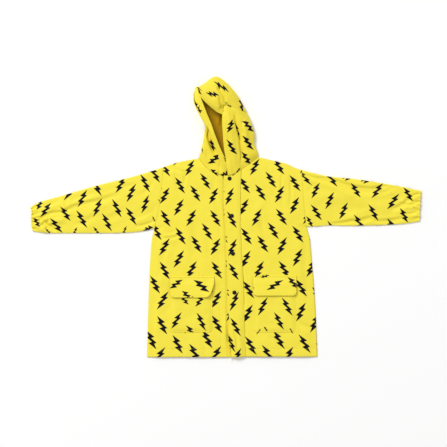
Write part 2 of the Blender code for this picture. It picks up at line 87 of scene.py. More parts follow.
def mottled_look(name, roughness, shades, scale, detail=2.0, relief=0):
    """A finish that wanders between two shades, with its node tree, its shader and its mottle."""
    made, tree, shader = new_look(name, roughness)
    spot = add_node(tree, "ShaderNodeTexCoord").node.outputs["Object"]
    mottle = add_node(tree, "ShaderNodeTexNoise", {"Vector": spot, "Scale": scale, "Detail": detail})
    tree.links.new(blended(tree, mottle, *shades), shader.inputs["Base Color"])
    if relief:
        values = {"Strength": relief, "Distance": 0.00005, "Height": mottle}
        tree.links.new(add_node(tree, "ShaderNodeBump", values), shader.inputs["Normal"])
    return made, tree, shader, mottle


def placed(name, data):
    """An object with its data, in the scene."""
    made = bpy.data.objects.new(name, data)
    scene.collection.objects.link(made)
    return made


board_mesh = bpy.data.meshes.new("board")
bm = bmesh.new()
bmesh.ops.create_grid(bm, x_segments=2, y_segments=2, size=BOARD_SIDE / 2)
bm.to_mesh(board_mesh)
bm.free()
board_mesh.materials.append(mottled_look("matt_board", 0.9, BOARD_WHITES, 2.5, 3.0)[0])
board = placed("board", board_mesh)
board.location.z = -BOARD_DROP

world = bpy.data.worlds.new("even_light")
world.use_nodes = True
world.node_tree.nodes["Background"].inputs["Color"].default_value = (1, 1, 1, 1)
world.node_tree.nodes["Background"].inputs["Strength"].default_value = SKY_STRENGTH
scene.world = world
lamp_data = bpy.data.lights.new("soft_lamp", "AREA")
lamp_data.size = LAMP_SIDE
lamp_data.energy = LAMP_POWER
lamp = placed("soft_lamp", lamp_data)
lamp.location = LAMP_PLACE
lamp.rotation_euler = (-Vector(LAMP_PLACE)).to_track_quat("-Z", "Y").to_euler()
lamp.visible_camera = False

camera_data = bpy.data.cameras.new("camera")
camera_data.sensor_width = CAMERA_SENSOR
camera_data.lens = CAMERA_LENS
camera = placed("camera", camera_data)
camera.location = CAMERA_PLACE
scene.camera = camera
scene.view_settings.view_transform = "Standard"

# ---- Back ----
# One panel of coated polyester, 0.2 mm thick in truth and 1 mm here, printed on its outer side. It
# lies flat on the board; the fronts, the sleeves and the hood are sewn to its edges, and its hem is
# turned up and stitched. Lengths are millimetres up to the mesh, where MM makes them metres.
MM = 0.001
CLOTH = 1.0
BACK_LAYER = CLOTH / 2
RIGHT_SIDE = [(-208.5, -371), (-206.5, -290), (-203.5, -190), (-200, -115), (-195.5, -60), (-188, -29)]
RIGHT_ARMHOLE = [(-188, -29), (-182, 3), (-174, 42), (-170, 90), (-166, 131)]
RIGHT_SHOULDER = [(-166, 131), (-142, 140), (-106, 149), (-71, 155)]
LEFT_SIDE = [
    (242.5, -370), (239.5, -290), (234, -190), (228, -120), (223, -62), (219.5, -46), (213.5, -25),
]
LEFT_ARMHOLE = [(213.5, -25), (210, 8), (207, 45), (204, 86), (202, 124)]
LEFT_SHOULDER = [(202, 124), (181, 131), (160, 141), (122, 150), (87, 158)]
BACK_NECK = [(-71, 155), (-45, 148), (8, 145), (60, 148), (87, 158)]
HEM_STITCH = 21
BACK_STEP = 4.0
BACK_WAVES = 0.25
BACK_HEM_GROOVE = (1.2, 0.4)
RUN_POINTS = 61
HEM_POINTS = 121
STITCH_ROWS = (-2, -1, 0, 1, 2)
CLOSEST_ROWS = 0.4
LATTICE_SIDE = 64
LATTICE_TURN = (0.82, 0.57)

# The print: seven bolts in a block that repeats. Each is (across, up, which way its top leans), in
# millimetres from the first, and a lean of 1 is to the right.
BLOCK = (135.3, 138.0)
BOLT_LENGTH = 52
BOLT_GIRTH = 54
BOLT_LEAN = 31
BLOCK_BOLTS = [
    (0, 0, -1), (69.7, 1.2, 1), (40.7, -47.6, -1), (111.8, -35.8, -1),
    (82.6, -69.8, -1), (-2.2, -76.4, 1), (36.3, -108.3, 1),
]
# One long side of a bolt: its half width at places along it, from the bottom tip to the top one. The
# other side is the same turned half round, and each notch runs slanting across the bolt.
BOLT_SIDE = [(-25, 0.2), (-5.1, 8.8), (-4.9, 1.2), (10.7, 7.0), (10.9, 1.4), (25, 0.2)]
BOLT_SLANT = 0.29
INK_EDGE = 0.4
# A colour ramp holds that side: it spans 60 mm along the bolt, and its shades are half widths.
RAMP_SPAN = 60
RAMP_LOW = -2.0
RAMP_RANGE = 10.0
RAMP_ENDS = 25.5

# The cloth: its dye is mottled, its coating crinkled and a little glossy, and its weave shows faintly.
LEMON = (0.93, 0.80, 0.075, 1)
LEMON_DEEP = (0.88, 0.735, 0.055, 1)
# The inner face keeps the cloth's yellow but is painted much darker and deeper: painted shade on every inner
# face, standing for the shade inside the hood.
LEMON_INSIDE_PAINTED_SHADE = (0.55, 0.31, 0.004, 1)
INK = (0.0025, 0.002, 0.005, 1)
INK_WORN = (0.007, 0.0055, 0.012, 1)
CLOTH_ROUGHNESS = (0.42, 0.58)
CLOTH_GLOSS = 0.1
NOISE_DETAIL = 4.0
MOTTLE_SCALE = 0.02
CRINKLE_SCALE = 0.28
CRINKLE_DEPTH = 0.0004
CRINKLE_STRENGTH = 0.6
WEAVE_SCALE = 0.55
WEAVE_WANDER = 0.6
WEAVE_DEPTH = 0.00002
WEAVE_STRENGTH = 0.5


def curve_through(knots, shares):
    """Points at the given shares, from 0 to 1, of the smooth curve through the knots."""
    knots = np.asarray(knots, float)
    last = len(knots) - 1
    place = np.clip(shares, 0, 1) * last
    i = np.minimum(place.astype(int), last - 1)
    f = (place - i).reshape((-1,) + (1,) * (knots.ndim - 1))
    padded = np.concatenate([[2 * knots[0] - knots[1]], knots, [2 * knots[-1] - knots[-2]]])
    p0, p1, p2, p3 = (padded[i + k] for k in range(4))
    return 0.5 * (
        2 * p1
        + (p2 - p0) * f
        + (2 * p0 - 5 * p1 + 4 * p2 - p3) * f ** 2
        + (3 * p1 - p0 - 3 * p2 + p3) * f ** 3
    )


def seam(*runs):
    """Runs of points that meet end to end, as one finely divided line."""
    parts = [curve_through(run, np.linspace(0, 1, RUN_POINTS)) for run in runs]
    return np.concatenate([parts[0]] + [part[1:] for part in parts[1:]])


def lengths_along(line):
    """How far along a line each of its points is."""
    return np.concatenate([[0], np.cumsum(np.linalg.norm(np.diff(line, axis=0), axis=1))])


def at_shares(line, shares):
    """Points of a line at shares of its length."""
    lengths = lengths_along(line)
    return np.stack([np.interp(shares * lengths[-1], lengths, c) for c in line.T], -1)


def divided(line, step, lines=(), corners=()):
    """Shares of a line's length for a grid: a step apart, closer beside stitch lines, and at corners."""
    length = lengths_along(line)[-1]
    special = [at + d for at in lines for d in STITCH_ROWS] + [share * length for share in corners]
    special = sorted(at for at in special if 0 < at < length)
    regular = np.linspace(0, length, round(length / step) + 1)
    kept = [at for at in regular[1:-1] if all(abs(at - s) > CLOSEST_ROWS * step for s in special)]
    return np.array(sorted([0, length, *kept, *special])) / length


def corner_share(first, *others):
    """The share of joined runs at which the first one ends."""
    return lengths_along(seam(first))[-1] / lengths_along(seam(first, *others))[-1]


def hem_line(first, last):
    """A straight hem between two corners, finely divided."""
    return np.linspace(first, last, HEM_POINTS)


def panel_plan(left, right, top, us, vs):
    """A panel's grid of points, in rows from a straight hem up to its top line, at shares of its edges."""
    bottom, top = at_shares(hem_line(left[0], right[0]), us), at_shares(top, us)
    left, right = at_shares(left, vs), at_shares(right, vs)
    u, v = us[None, :, None], vs[:, None, None]
    ruled = (1 - v) * bottom[None] + v * top[None] + (1 - u) * left[:, None] + u * right[:, None]
    low = (1 - u) * bottom[0] + u * bottom[-1]
    high = (1 - u) * top[0] + u * top[-1]
    return ruled - (1 - v) * low - v * high


def uneven(x, y, size, seed):
    """Soft random rise and fall, from about -1 to 1, with a size in millimetres from hump to hump."""
    side = LATTICE_SIDE
    lattice = np.random.default_rng(seed).uniform(-1, 1, (side, side))
    along, aside = LATTICE_TURN
    a, b = (along * x + aside * y) / size, (along * y - aside * x) / size
    i, j = np.floor(a).astype(int), np.floor(b).astype(int)
    f, g = a - i, b - j
    f, g = (t ** 3 * (t * (6 * t - 15) + 10) for t in (f, g))
    near, far = (
        lattice[row % side, i % side] * (1 - f) + lattice[row % side, (i + 1) % side] * f
        for row in (j, j + 1)
    )
    return near * (1 - g) + far * g


def bell(distance, width):
    """1 at a place or line, falling softly to 0 beside it."""
    return np.exp(-((distance / width) ** 2))


def dip(distance, width, depth):
    """The groove beside a seam or along a line of stitches."""
    return -depth * bell(distance, width)


def bolt_group():
    """The node group that says where one bolt's ink is, from a place relative to the bolt's middle."""
    group = bpy.data.node_groups.new("lightning_bolt", "ShaderNodeTree")
    group.interface.new_socket("Place", in_out="INPUT", socket_type="NodeSocketVector")
    for name in ("Lean", "Length", "Girth"):
        group.interface.new_socket(name, in_out="INPUT", socket_type="NodeSocketFloat")
    group.interface.new_socket("Ink", in_out="OUTPUT", socket_type="NodeSocketFloat")
    given = group.nodes.new("NodeGroupInput").outputs

    def sums(operation, *values):
        return add_node(group, "ShaderNodeMath", values, operation=operation)

    split = add_node(group, "ShaderNodeSeparateXYZ", [given["Place"]]).node.outputs
    mirrored = sums("MULTIPLY", split["X"], sums("SIGN", given["Lean"]))
    facing = add_node(group, "ShaderNodeCombineXYZ", [mirrored, split["Y"]])
    upright = add_node(
        group, "ShaderNodeVectorRotate", {"Vector": facing, "Angle": sums("ABSOLUTE", given["Lean"])},
        rotation_type="Z_AXIS",
    )
    split = add_node(group, "ShaderNodeSeparateXYZ", [upright]).node.outputs
    whole = 2 * BOLT_SIDE[-1][0]
    across = sums("MULTIPLY", split["X"], sums("DIVIDE", whole, given["Girth"]))
    up = sums("MULTIPLY", split["Y"], sums("DIVIDE", whole, given["Length"]))
    slanted = sums("MULTIPLY_ADD", across, -BOLT_SLANT, up)
    inside = []
    for way in (1, -1):
        share = sums("MULTIPLY_ADD", slanted, way / RAMP_SPAN, 0.5)
        ramp = add_node(group, "ShaderNodeValToRGB", [share]).node
        stops = [(-RAMP_ENDS, RAMP_LOW), *BOLT_SIDE, (RAMP_ENDS, RAMP_LOW)]
        for _ in stops[2:]:
            ramp.color_ramp.elements.new(0.5)
        for stop, (place, _) in zip(ramp.color_ramp.elements, stops):
            stop.position = place / RAMP_SPAN + 0.5
        for stop, (_, half_width) in zip(ramp.color_ramp.elements, stops):
            shade = (half_width - RAMP_LOW) / RAMP_RANGE
            stop.color = (shade, shade, shade, 1)
        width = sums("MULTIPLY_ADD", ramp.outputs[0], RAMP_RANGE, RAMP_LOW)
        inside.append(sums("MULTIPLY_ADD", across, -way, width))
    edge = {"Value": sums("MINIMUM", *inside), "From Min": -INK_EDGE, "From Max": 0.0}
    ink = add_node(group, "ShaderNodeMapRange", edge)
    leave = group.nodes.new("NodeGroupOutput")
    group.links.new(ink, leave.inputs["Ink"])
    return group


bolt_nodes = bolt_group()


def ink_of(tree, place, bolts, block=None):
    """Where the ink of (across, up, lean, length, girth) bolts is, repeated if there is a block."""
    ink = None
    for across, up, lean, length, girth in bolts:
        near = add_node(tree, "ShaderNodeVectorMath", [place, (across, up, 0)], operation="SUBTRACT")
        if block:
            half = (block[0] / 2, block[1] / 2, 1)
            near = add_node(tree, "ShaderNodeVectorMath", [near, half, [-h for h in half]], operation="WRAP")
        bolt = add_node(
            tree, "ShaderNodeGroup",
            {"Place": near, "Lean": math.radians(lean), "Length": length, "Girth": girth},
            node_tree=bolt_nodes,
        )
        ink = bolt if ink is None else add_node(tree, "ShaderNodeMath", [ink, bolt], operation="MAXIMUM")
    return ink


def cloth_look(name, bolts=(), block=None, light=LEMON, deep=LEMON_DEEP):
    """Coated cloth with a fine weave, small crinkles and the print that its bolts give."""
    made, tree, shader = new_look(name, 0.5)
    uv = add_node(tree, "ShaderNodeUVMap", uv_map="print")
    place = add_node(tree, "ShaderNodeVectorMath", {0: uv, "Scale": 1 / MM}, operation="SCALE")
    broad, fine = (
        add_node(tree, "ShaderNodeTexNoise", {"Vector": place, "Scale": scale, "Detail": NOISE_DETAIL})
        for scale in (MOTTLE_SCALE, CRINKLE_SCALE)
    )
    colour = blended(tree, broad, light, deep)
    low, high = CLOTH_ROUGHNESS
    finish = add_node(tree, "ShaderNodeMapRange", {"Value": fine, "To Min": low, "To Max": high})
    if bolts:
        ink = ink_of(tree, place, bolts, block)
        colour = blended(tree, ink, colour, blended(tree, fine, INK, INK_WORN))
    tree.links.new(colour, shader.inputs["Base Color"])
    tree.links.new(finish, shader.inputs["Roughness"])
    thread = {"Vector": place, "Scale": WEAVE_SCALE, "Distortion": WEAVE_WANDER, "Detail": 1.0}
    weave = [
        add_node(tree, "ShaderNodeTexWave", thread, bands_direction=way).node.outputs["Fac"]
        for way in ("X", "Y")
    ]
    threads = add_node(tree, "ShaderNodeMath", weave, operation="MULTIPLY")
    woven = {"Strength": WEAVE_STRENGTH, "Distance": WEAVE_DEPTH, "Height": threads}
    crinkled = {"Strength": CRINKLE_STRENGTH, "Distance": CRINKLE_DEPTH, "Height": fine}
    crinkled["Normal"] = add_node(tree, "ShaderNodeBump", woven)
    tree.links.new(add_node(tree, "ShaderNodeBump", crinkled), shader.inputs["Normal"])
    shader.inputs["Specular IOR Level"].default_value = CLOTH_GLOSS
    return made


printed_look = cloth_look(
    "printed_cloth",
    [(across, up, lean * BOLT_LEAN, BOLT_LENGTH, BOLT_GIRTH) for across, up, lean in BLOCK_BOLTS],
    BLOCK,
)
# The inner faces' look: the cloth's yellow with painted shade in its colour.
inside_painted_shade_look = cloth_look("cloth_inside_painted_shade", light=LEMON_INSIDE_PAINTED_SHADE, deep=LEMON_INSIDE_PAINTED_SHADE)


def cloth(name, grid, print_at, looks, ring=False, turned=False, thickness=CLOTH, second=None, even=True):
    """One piece of cloth, from a grid of points and the place of the print at each.

    looks are the outer and the inner finish. Faces that second marks take the two finishes after those.
    """
    rows, columns = grid.shape[:2]
    width = columns - 1 if ring else columns
    j, i = np.mgrid[0 : rows - 1, 0 : columns - 1]
    corners = [(j, i), (j, i + 1), (j + 1, i + 1), (j + 1, i)]
    if turned:
        corners = corners[::-1]
    faces = np.stack([r * width + c % width for r, c in corners], -1).reshape(-1, 4)
    mesh = bpy.data.meshes.new(name)
    mesh.from_pydata((grid[:, :width].reshape(-1, 3) * MM).tolist(), [], faces.tolist())
    spots = np.stack([print_at[r, c] for r, c in corners], -2) * MM
    mesh.uv_layers.new(name="print").data.foreach_set("uv", spots.ravel())
    for look in looks:
        mesh.materials.append(look)
    if second is not None:
        mesh.polygons.foreach_set("material_index", second.astype(np.int32).ravel())
    mesh.shade_smooth()
    piece = placed(name, mesh)
    shell = piece.modifiers.new("thickness", "SOLIDIFY")
    shell.thickness = thickness * MM
    shell.offset = 0
    shell.use_even_offset = even
    shell.material_offset = len(looks) // 2
    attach(piece, "root")
    return piece


side = seam(RIGHT_SIDE, RIGHT_ARMHOLE)
other_side = seam(LEFT_SIDE, LEFT_ARMHOLE)
shoulders = seam(RIGHT_SHOULDER, BACK_NECK, LEFT_SHOULDER[::-1])
shares_up = divided(
    side, BACK_STEP, [HEM_STITCH],
    [corner_share(RIGHT_SIDE, RIGHT_ARMHOLE), corner_share(LEFT_SIDE, LEFT_ARMHOLE)],
)
shares_across = divided(
    shoulders, BACK_STEP, (),
    [corner_share(RIGHT_SHOULDER, BACK_NECK, LEFT_SHOULDER[::-1]),
     1 - corner_share(LEFT_SHOULDER, BACK_NECK[::-1], RIGHT_SHOULDER[::-1])],
)
plan = panel_plan(side, other_side, shoulders, shares_across, shares_up)
x, y = plan[..., 0], plan[..., 1]
hem_groove = dip(y - side[0][1] - HEM_STITCH, *BACK_HEM_GROOVE)
height = BACK_LAYER - hem_groove + BACK_WAVES * np.abs(uneven(x, y, 60, 3))
back = cloth("back_panel", np.dstack([x, y, height]), np.dstack([-x, y]), [inside_painted_shade_look, printed_look])
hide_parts("back")

# ---- Fronts ----
# Two panels of the printed cloth, sewn to the back at the sides and shoulders. The right one runs on
# below the front band, and the left one ends at the band's seam. A line of stitches holds each hem.
SEAM_LAYER = 2.1
FRONT_RISE = 2.6
FRONT_STEP = 3.0
UNDERLAP_DROP = 1.1
FACING_WIDTH = 52
EDGE_OF_BAND = 41
SEAM_GAP = 0.3
HEM_SEWN = 0.8
RIGHT_NECK = [(-71, 155), (-58, 138), (-40, 122), (-20, 112), (-4, 109)]
UNDERLAP_NECK = [(-4, 109), (14, 111), (36, 120)]
UNDERLAP_EDGE = [(46, -371), (41, -190), (36, -20), (36, 120)]
LEFT_NECK = [(87, 158), (74, 148), (58, 136), (40, 123)]
BAND_SEAM = [(52, -370), (49, -288), (46, -180), (41, -85), (39, -20), (38, 50), (40, 123)]
BAND_EDGE = [(10, -371), (7, -300), (6, -230), (4, -130), (0, -30), (-4, 40), (-4, 109)]

# How the print lies in each panel: where the block starts, how far it runs for each millimetre across
# and up, and how it bends and fans out over each hundred millimetres.
PRINT_LAY = {
    "right": [(163.7, 3.5), (1.027, 0), (0.049, 1.03), (0.9, 1.54), (3.3, 0.6)],
    "left": [(-12.3, 5.5), (1, -0.038), (0.028, 1.014), (0, 1.56), (1.6, -0.2)],
}

# Crumples of the coated cloth: their size from hump to hump, and their height. A lower power makes the
# creases sharper, and the level is taken off so that the cloth stays at its mean height.
HOLLOWS = (38, 0.75)
CREASES = (46, 0.8)
CRINKLES = (14, 0.24)
CREASE_POWER = 0.8
CREASE_LEVEL = 0.4

# How far in from its seams a panel rises to its full height, and the grooves beside the seams and the
# stitches, as width and depth.
SIDE_SLOPE = 34
SHOULDER_SLOPE = 26
ARMHOLE_SLOPE = 14
NECK_LIFT = 0.25
NECK_REACH = 20
LEAST_CREASED = 0.25
SIDE_TURN = 3.5
SIDE_TURN_DEPTH = 0.5
ARMHOLE_GROOVE = (5, 0.3)
SHOULDER_GROOVE = (2.6, 0.4)
NECK_GROOVE = (4, 0.3)
HEM_GROOVE = (1.3, 0.45)
FACING_GROOVE = (1.3, 0.35)
BAND_SEAM_GROOVE = (4, 0.7)
HEM_PUCKER = 0.35

# The right front goes in under the band: it starts down this far before the edge, over this slope.
# Beside the edge it has hollows and (with a negative depth) a ridge: how far out they are, their width
# and depth, and their level on the coat with their reach up and down from there.
UNDER_EDGE = 8
UNDER_SLOPE = 7
LOWEST_UNDERLAP = 2.2
LOWEST_FROM = 20
BESIDE_BAND = [
    (1.8, 2.4, 1.3, 0, math.inf),
    (2.5, 3.4, 3.6, -240, 14),
    (0, 5, 4.0, -292, 18),
    (8.5, 4.4, -5.2, -300, 24),
]

# Soft folds: a ridge (or, with a negative height, a trough) from one point to another, bowed sideways,
# with the cloth beside it going the other way. One of its sides is wider than the other.
FOLD_SIDES = (1.25, 0.8)
FOLD_COLUMNS = ("x0", "y0", "x1", "y1", "bow", "width", "height")
BODY_FOLDS = [
    (-166, -54, -124, -48, 3, 4, -2.0),
    (-160, -48, -128, -42, 3, 5, 1.0),
    (-140, 130, -100, 112, -2, 4, -1.8),
    (-132, 118, -120, 60, 4, 5, -1.4),
    (-108, 122, -112, 78, -3, 4.5, -1.5),
    (150, 112, 151, 44, 2, 3.5, -2.0),
    (171, 106, 170, 28, -3, 4, -1.5),
    (112, 128, 128, 96, 3, 5, -1.4),
    (96, 20, 104, -52, 4, 6, -1.2),
    (212, -60, 222, -225, 5, 9, -1.4),
    (-186, -215, -194, -355, 5, 10, -1.3),
    (-150, -70, -172, -150, 5, 8, -1.1),
    (178, -262, 232, -296, 6, 7, -1.7),
    (62, -330, 96, -362, 4, 8, 1.4),
    (120, -318, 150, -352, -4, 7, -1.5),
    (-120, -330, -96, -372, -4, 8, 1.4),
    (-60, -318, -46, -371, 3, 7, -1.3),
    (100, 60, 92, -60, 8, 16, 1.2),
    (-110, 30, -104, -96, -9, 16, 1.2),
    (-30, 96, -18, 20, 4, 6, -1.2),
    (-52, -40, -44, -110, -4, 7, -1.1),
    (45.5, -125, 50.5, -232, 0, 3.5, -1.9),
]


def smooth(t):
    """0 to 1 with soft ends, for t from 0 to 1."""
    t = np.clip(t, 0, 1)
    return t * t * (3 - 2 * t)


def distance_to(line, x, y):
    """How far points are from a line, and how far along it, in millimetres."""
    start, step = line[:-1, :2], np.diff(line[:, :2], axis=0)
    off_x, off_y = x[..., None] - start[:, 0], y[..., None] - start[:, 1]
    t = np.clip((off_x * step[:, 0] + off_y * step[:, 1]) / (step ** 2).sum(1), 0, 1)
    gap = np.hypot(off_x - t * step[:, 0], off_y - t * step[:, 1])
    nearest = gap.argmin(-1)[..., None]
    past = np.take_along_axis(t, nearest, -1) * np.hypot(*step[nearest].T).T
    return gap.min(-1), (lengths_along(line[:, :2])[nearest] + past)[..., 0]


def crumple(x, y, seed):
    """Crumples of coated cloth: broad soft hollows and a few sharper creases, in millimetres."""
    creases = np.abs(uneven(x, y, CREASES[0], seed + 1)) ** CREASE_POWER - CREASE_LEVEL
    hollows = HOLLOWS[1] * uneven(x, y, HOLLOWS[0], seed)
    return hollows + CREASES[1] * creases + CRINKLES[1] * uneven(x, y, CRINKLES[0], seed + 2)


def print_place(x, y, lay):
    """The place in the print at points of a panel."""
    far_x, far_y = x / 100, y / 100
    parts = zip((1, x, y, far_y ** 2, far_x * far_y), lay)
    return sum(np.multiply.outer(np.asarray(part, float), numbers) for part, numbers in parts)


def fold_height(folds, x, y):
    """The height that the folds of a table add at points."""
    total = np.zeros(np.shape(x))
    for values in folds:
        fold = dict(zip(FOLD_COLUMNS, values))
        dx, dy = fold["x1"] - fold["x0"], fold["y1"] - fold["y0"]
        length = math.hypot(dx, dy)
        t = ((x - fold["x0"]) * dx + (y - fold["y0"]) * dy) / length ** 2
        inner = np.clip(t, 0, 1)
        side = ((x - fold["x0"]) * dy - (y - fold["y0"]) * dx) / length
        side = side - fold["bow"] * (1 - (2 * inner - 1) ** 2)
        past = np.maximum(np.maximum(-t, t - 1), 0) * length
        middle = 1 - 0.5 * np.abs(2 * inner - 1) ** 2
        width = np.where(side > 0, *FOLD_SIDES) * fold["width"]
        far = (side / width) ** 2
        total += fold["height"] * middle * (1 - far) * np.exp(-far / 2 - (past / width) ** 2)
    return total


def dome(w, power):
    """1 in the middle of a width, falling to 0 at its two ends."""
    return np.maximum(0, 1 - np.abs(2 * np.clip(w, 0, 1) - 1) ** power) ** (1 / power)


def front_grid(side_run, armhole, shoulder, necks, edge, lines, seed):
    """A front's grid, rows from hem to top and columns from the side seam to the front edge."""
    outer, top, inner = seam(side_run, armhole), seam(shoulder, *necks), seam(edge)
    armpit = corner_share(side_run, armhole)
    up = divided(outer, FRONT_STEP, [HEM_STITCH], [armpit])
    reach = lengths_along(top)[-1]
    across = divided(top, FRONT_STEP, [reach - line for line in lines], [corner_share(shoulder, *necks)])
    plan = panel_plan(outer, inner, top, across, up)
    x, y = plan[..., 0], plan[..., 1]
    side_gap, arm_gap, shoulder_gap, neck_gap = (
        distance_to(seam(*runs), x, y)[0] for runs in ((side_run,), (armhole,), (shoulder,), necks)
    )
    side_share = np.where(up > armpit, dome((up - armpit) / (1 - armpit), 3), 0)[:, None]
    rise = side_share + (1 - side_share) * smooth(np.minimum(side_gap, arm_gap) / SIDE_SLOPE)
    rise = rise * smooth(shoulder_gap / SHOULDER_SLOPE) * (1 + NECK_LIFT * bell(neck_gap, NECK_REACH))
    free = np.minimum(rise + LEAST_CREASED, 1) * smooth(arm_gap / ARMHOLE_SLOPE)
    hem_gap = y - outer[0][1]
    z = SEAM_LAYER + FRONT_RISE * rise
    z += (fold_height(BODY_FOLDS, x, y) + crumple(x, y, seed)) * free
    z -= SIDE_TURN_DEPTH * np.clip(1 - side_gap / SIDE_TURN, 0, 1) ** 2
    z += dip(arm_gap, *ARMHOLE_GROOVE) + dip(shoulder_gap, *SHOULDER_GROOVE) + dip(neck_gap, *NECK_GROOVE)
    z += dip(hem_gap - HEM_STITCH, *HEM_GROOVE)
    z += HEM_PUCKER * uneven(x, 0.3 * hem_gap, 8, seed + 5) * bell(hem_gap - HEM_STITCH, 9)
    return np.dstack([x, y, z]), up, across


def band_edge_at(y):
    """Where the front band's free edge is, across, at heights on the coat."""
    edge = seam(BAND_EDGE)
    return np.interp(y, edge[:, 1], edge[:, 0])


# Sewing thread: each stitch is a short bead of thread that sinks into the cloth at both ends.
STITCH_PITCH = 3.3
STITCH_LENGTH = 2.5
THREAD_RADIUS = 0.27
THREAD_SIDES = 5
THREAD_RINGS = (-0.7, 0, 0.7)
THREAD_PROUD = 0.12
THREAD_SUNK = 0.35
THREAD_LEMONS = ((0.78, 0.64, 0.05, 1), (0.95, 0.82, 0.13, 1))
thread_look = mottled_look("lemon_thread", 0.6, THREAD_LEMONS, 900.0, relief=0.4)[0]


def face_of(grid, lift):
    """The grid moved off the middle of the cloth by lift, on the side that it faces."""
    out = np.cross(np.gradient(grid, axis=1), np.gradient(grid, axis=0))
    return grid + lift * out / np.linalg.norm(out, axis=-1, keepdims=True)


def stitch_path(grid, part, thickness=CLOTH):
    """A line of stitches along part of a grid: its points on the cloth's face and the way out there."""
    skin = face_of(grid, thickness / 2)
    out = (skin - grid) / (thickness / 2)
    return skin[part], out[part]


def sew(name, paths):
    """Stitches along the paths, as one piece."""
    middles, alongs, outs = [], [], []
    for points, out in paths:
        lengths = lengths_along(points)
        count = max(int(lengths[-1] / STITCH_PITCH), 1)
        places = (np.arange(count) + 0.5) / count * lengths[-1]
        both = [np.stack([np.interp(places + d, lengths, c) for c in points.T], -1) for d in (-1, 1)]
        middles.append(sum(both) / 2)
        alongs.append(both[1] - both[0])
        outs.append(np.stack([np.interp(places, lengths, c) for c in out.T], -1))
    middle, along, out = (np.concatenate(parts)[:, None] for parts in (middles, alongs, outs))
    along = along / np.linalg.norm(along, axis=-1, keepdims=True)
    beside = np.cross(along, out)
    beads = [(-1, 0), *((p, a) for p in THREAD_RINGS for a in range(THREAD_SIDES)), (1, 0)]
    place = np.array([p for p, _ in beads])[:, None]
    angle = np.array([a for _, a in beads])[:, None] * 2 * math.pi / THREAD_SIDES
    girth = THREAD_RADIUS * np.sqrt(1 - np.abs(place) ** 3)
    sunk = THREAD_PROUD - THREAD_SUNK * place ** 2
    points = middle + along * place * STITCH_LENGTH / 2
    points = points + out * (sunk + girth * np.sin(angle)) + beside * girth * np.cos(angle)
    last = len(beads) - 1
    ring = [[1 + THREAD_SIDES * r + a for a in range(THREAD_SIDES)] for r in range(len(THREAD_RINGS))]
    turn = [(a, (a + 1) % THREAD_SIDES) for a in range(THREAD_SIDES)]
    one = [(0, ring[0][b], ring[0][a]) for a, b in turn]
    one += [(low[a], low[b], high[b], high[a]) for low, high in zip(ring, ring[1:]) for a, b in turn]
    one += [(last, ring[-1][a], ring[-1][b]) for a, b in turn]
    faces = [tuple(k + len(beads) * n for k in face) for n in range(len(points)) for face in one]
    mesh = bpy.data.meshes.new(name)
    mesh.from_pydata((points.reshape(-1, 3) * MM).tolist(), [], faces)
    mesh.materials.append(thread_look)
    mesh.shade_smooth()
    piece = placed(name, mesh)
    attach(piece, "root")
    return piece


right_grid, up, across = front_grid(
    RIGHT_SIDE, RIGHT_ARMHOLE, RIGHT_SHOULDER, (RIGHT_NECK, UNDERLAP_NECK), UNDERLAP_EDGE,
    [FACING_WIDTH, EDGE_OF_BAND], 11
)
x, y, z = np.moveaxis(right_grid, -1, 0)
edge_gap = x - band_edge_at(y)
covered = np.minimum(z - UNDERLAP_DROP, SEAM_LAYER + FRONT_RISE - UNDERLAP_DROP)
z += (covered - z) * smooth((edge_gap + UNDER_EDGE) / UNDER_SLOPE)
for out, width, depth, level, reach in BESIDE_BAND:
    z += dip(edge_gap + out, width, depth) * bell(y - level, reach)
z[...] = np.where(edge_gap > -LOWEST_FROM, np.maximum(z, LOWEST_UNDERLAP), z)
facing_gap = (1 - across) * lengths_along(right_grid[-1])[-1] - FACING_WIDTH
z += dip(facing_gap, *FACING_GROOVE)
place = print_place(x, y, PRINT_LAY["right"])
right_front = cloth("front_right_panel", right_grid, place, [printed_look, inside_painted_shade_look])
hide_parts("front_right")
hem_row = np.abs(right_grid[:, 0, 1] - right_grid[0, 0, 1] - HEM_STITCH).argmin()
facing_column = np.abs(facing_gap).argmin()
right_sewing = sew("front_right_stitches", [
    stitch_path(right_grid, np.s_[hem_row, : int(HEM_SEWN * len(across))]),
    stitch_path(right_grid, np.s_[:, facing_column]),
])

left_grid, up, across = front_grid(
    LEFT_SIDE, LEFT_ARMHOLE, LEFT_SHOULDER, (LEFT_NECK,), [(x + SEAM_GAP, y) for x, y in BAND_SEAM],
    [], 23
)
left_grid = left_grid[:, ::-1]
x, y, z = np.moveaxis(left_grid, -1, 0)
z += dip(distance_to(seam(BAND_SEAM), x, y)[0], *BAND_SEAM_GROOVE)
place = print_place(x, y, PRINT_LAY["left"])
left_front = cloth("front_left_panel", left_grid, place, [printed_look, inside_painted_shade_look])
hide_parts("front_left")
left_sewing = sew("front_left_stitches", [stitch_path(left_grid, np.s_[hem_row])])

# ---- Front band ----
# A strip of the printed cloth, folded double, sewn to the left front and laid over the right one. Its
# fold is the free edge, the studs hold it down, and below the lowest stud it lifts and curls a little.
BAND_PLY = 0.8
BAND_SPLIT = 1.0
BAND_REST = SEAM_LAYER + FRONT_RISE - UNDERLAP_DROP + 2.1
BAND_TOP = [(-4, 109), (12, 111), (27, 116), (40, 123)]
BAND_WIDTH = 42
BAND_STITCHES = (4, 38)
BAND_STEP_UP = 3.0
BAND_STEP_ACROSS = 2.5
BAND_FOLD_STEPS = 6
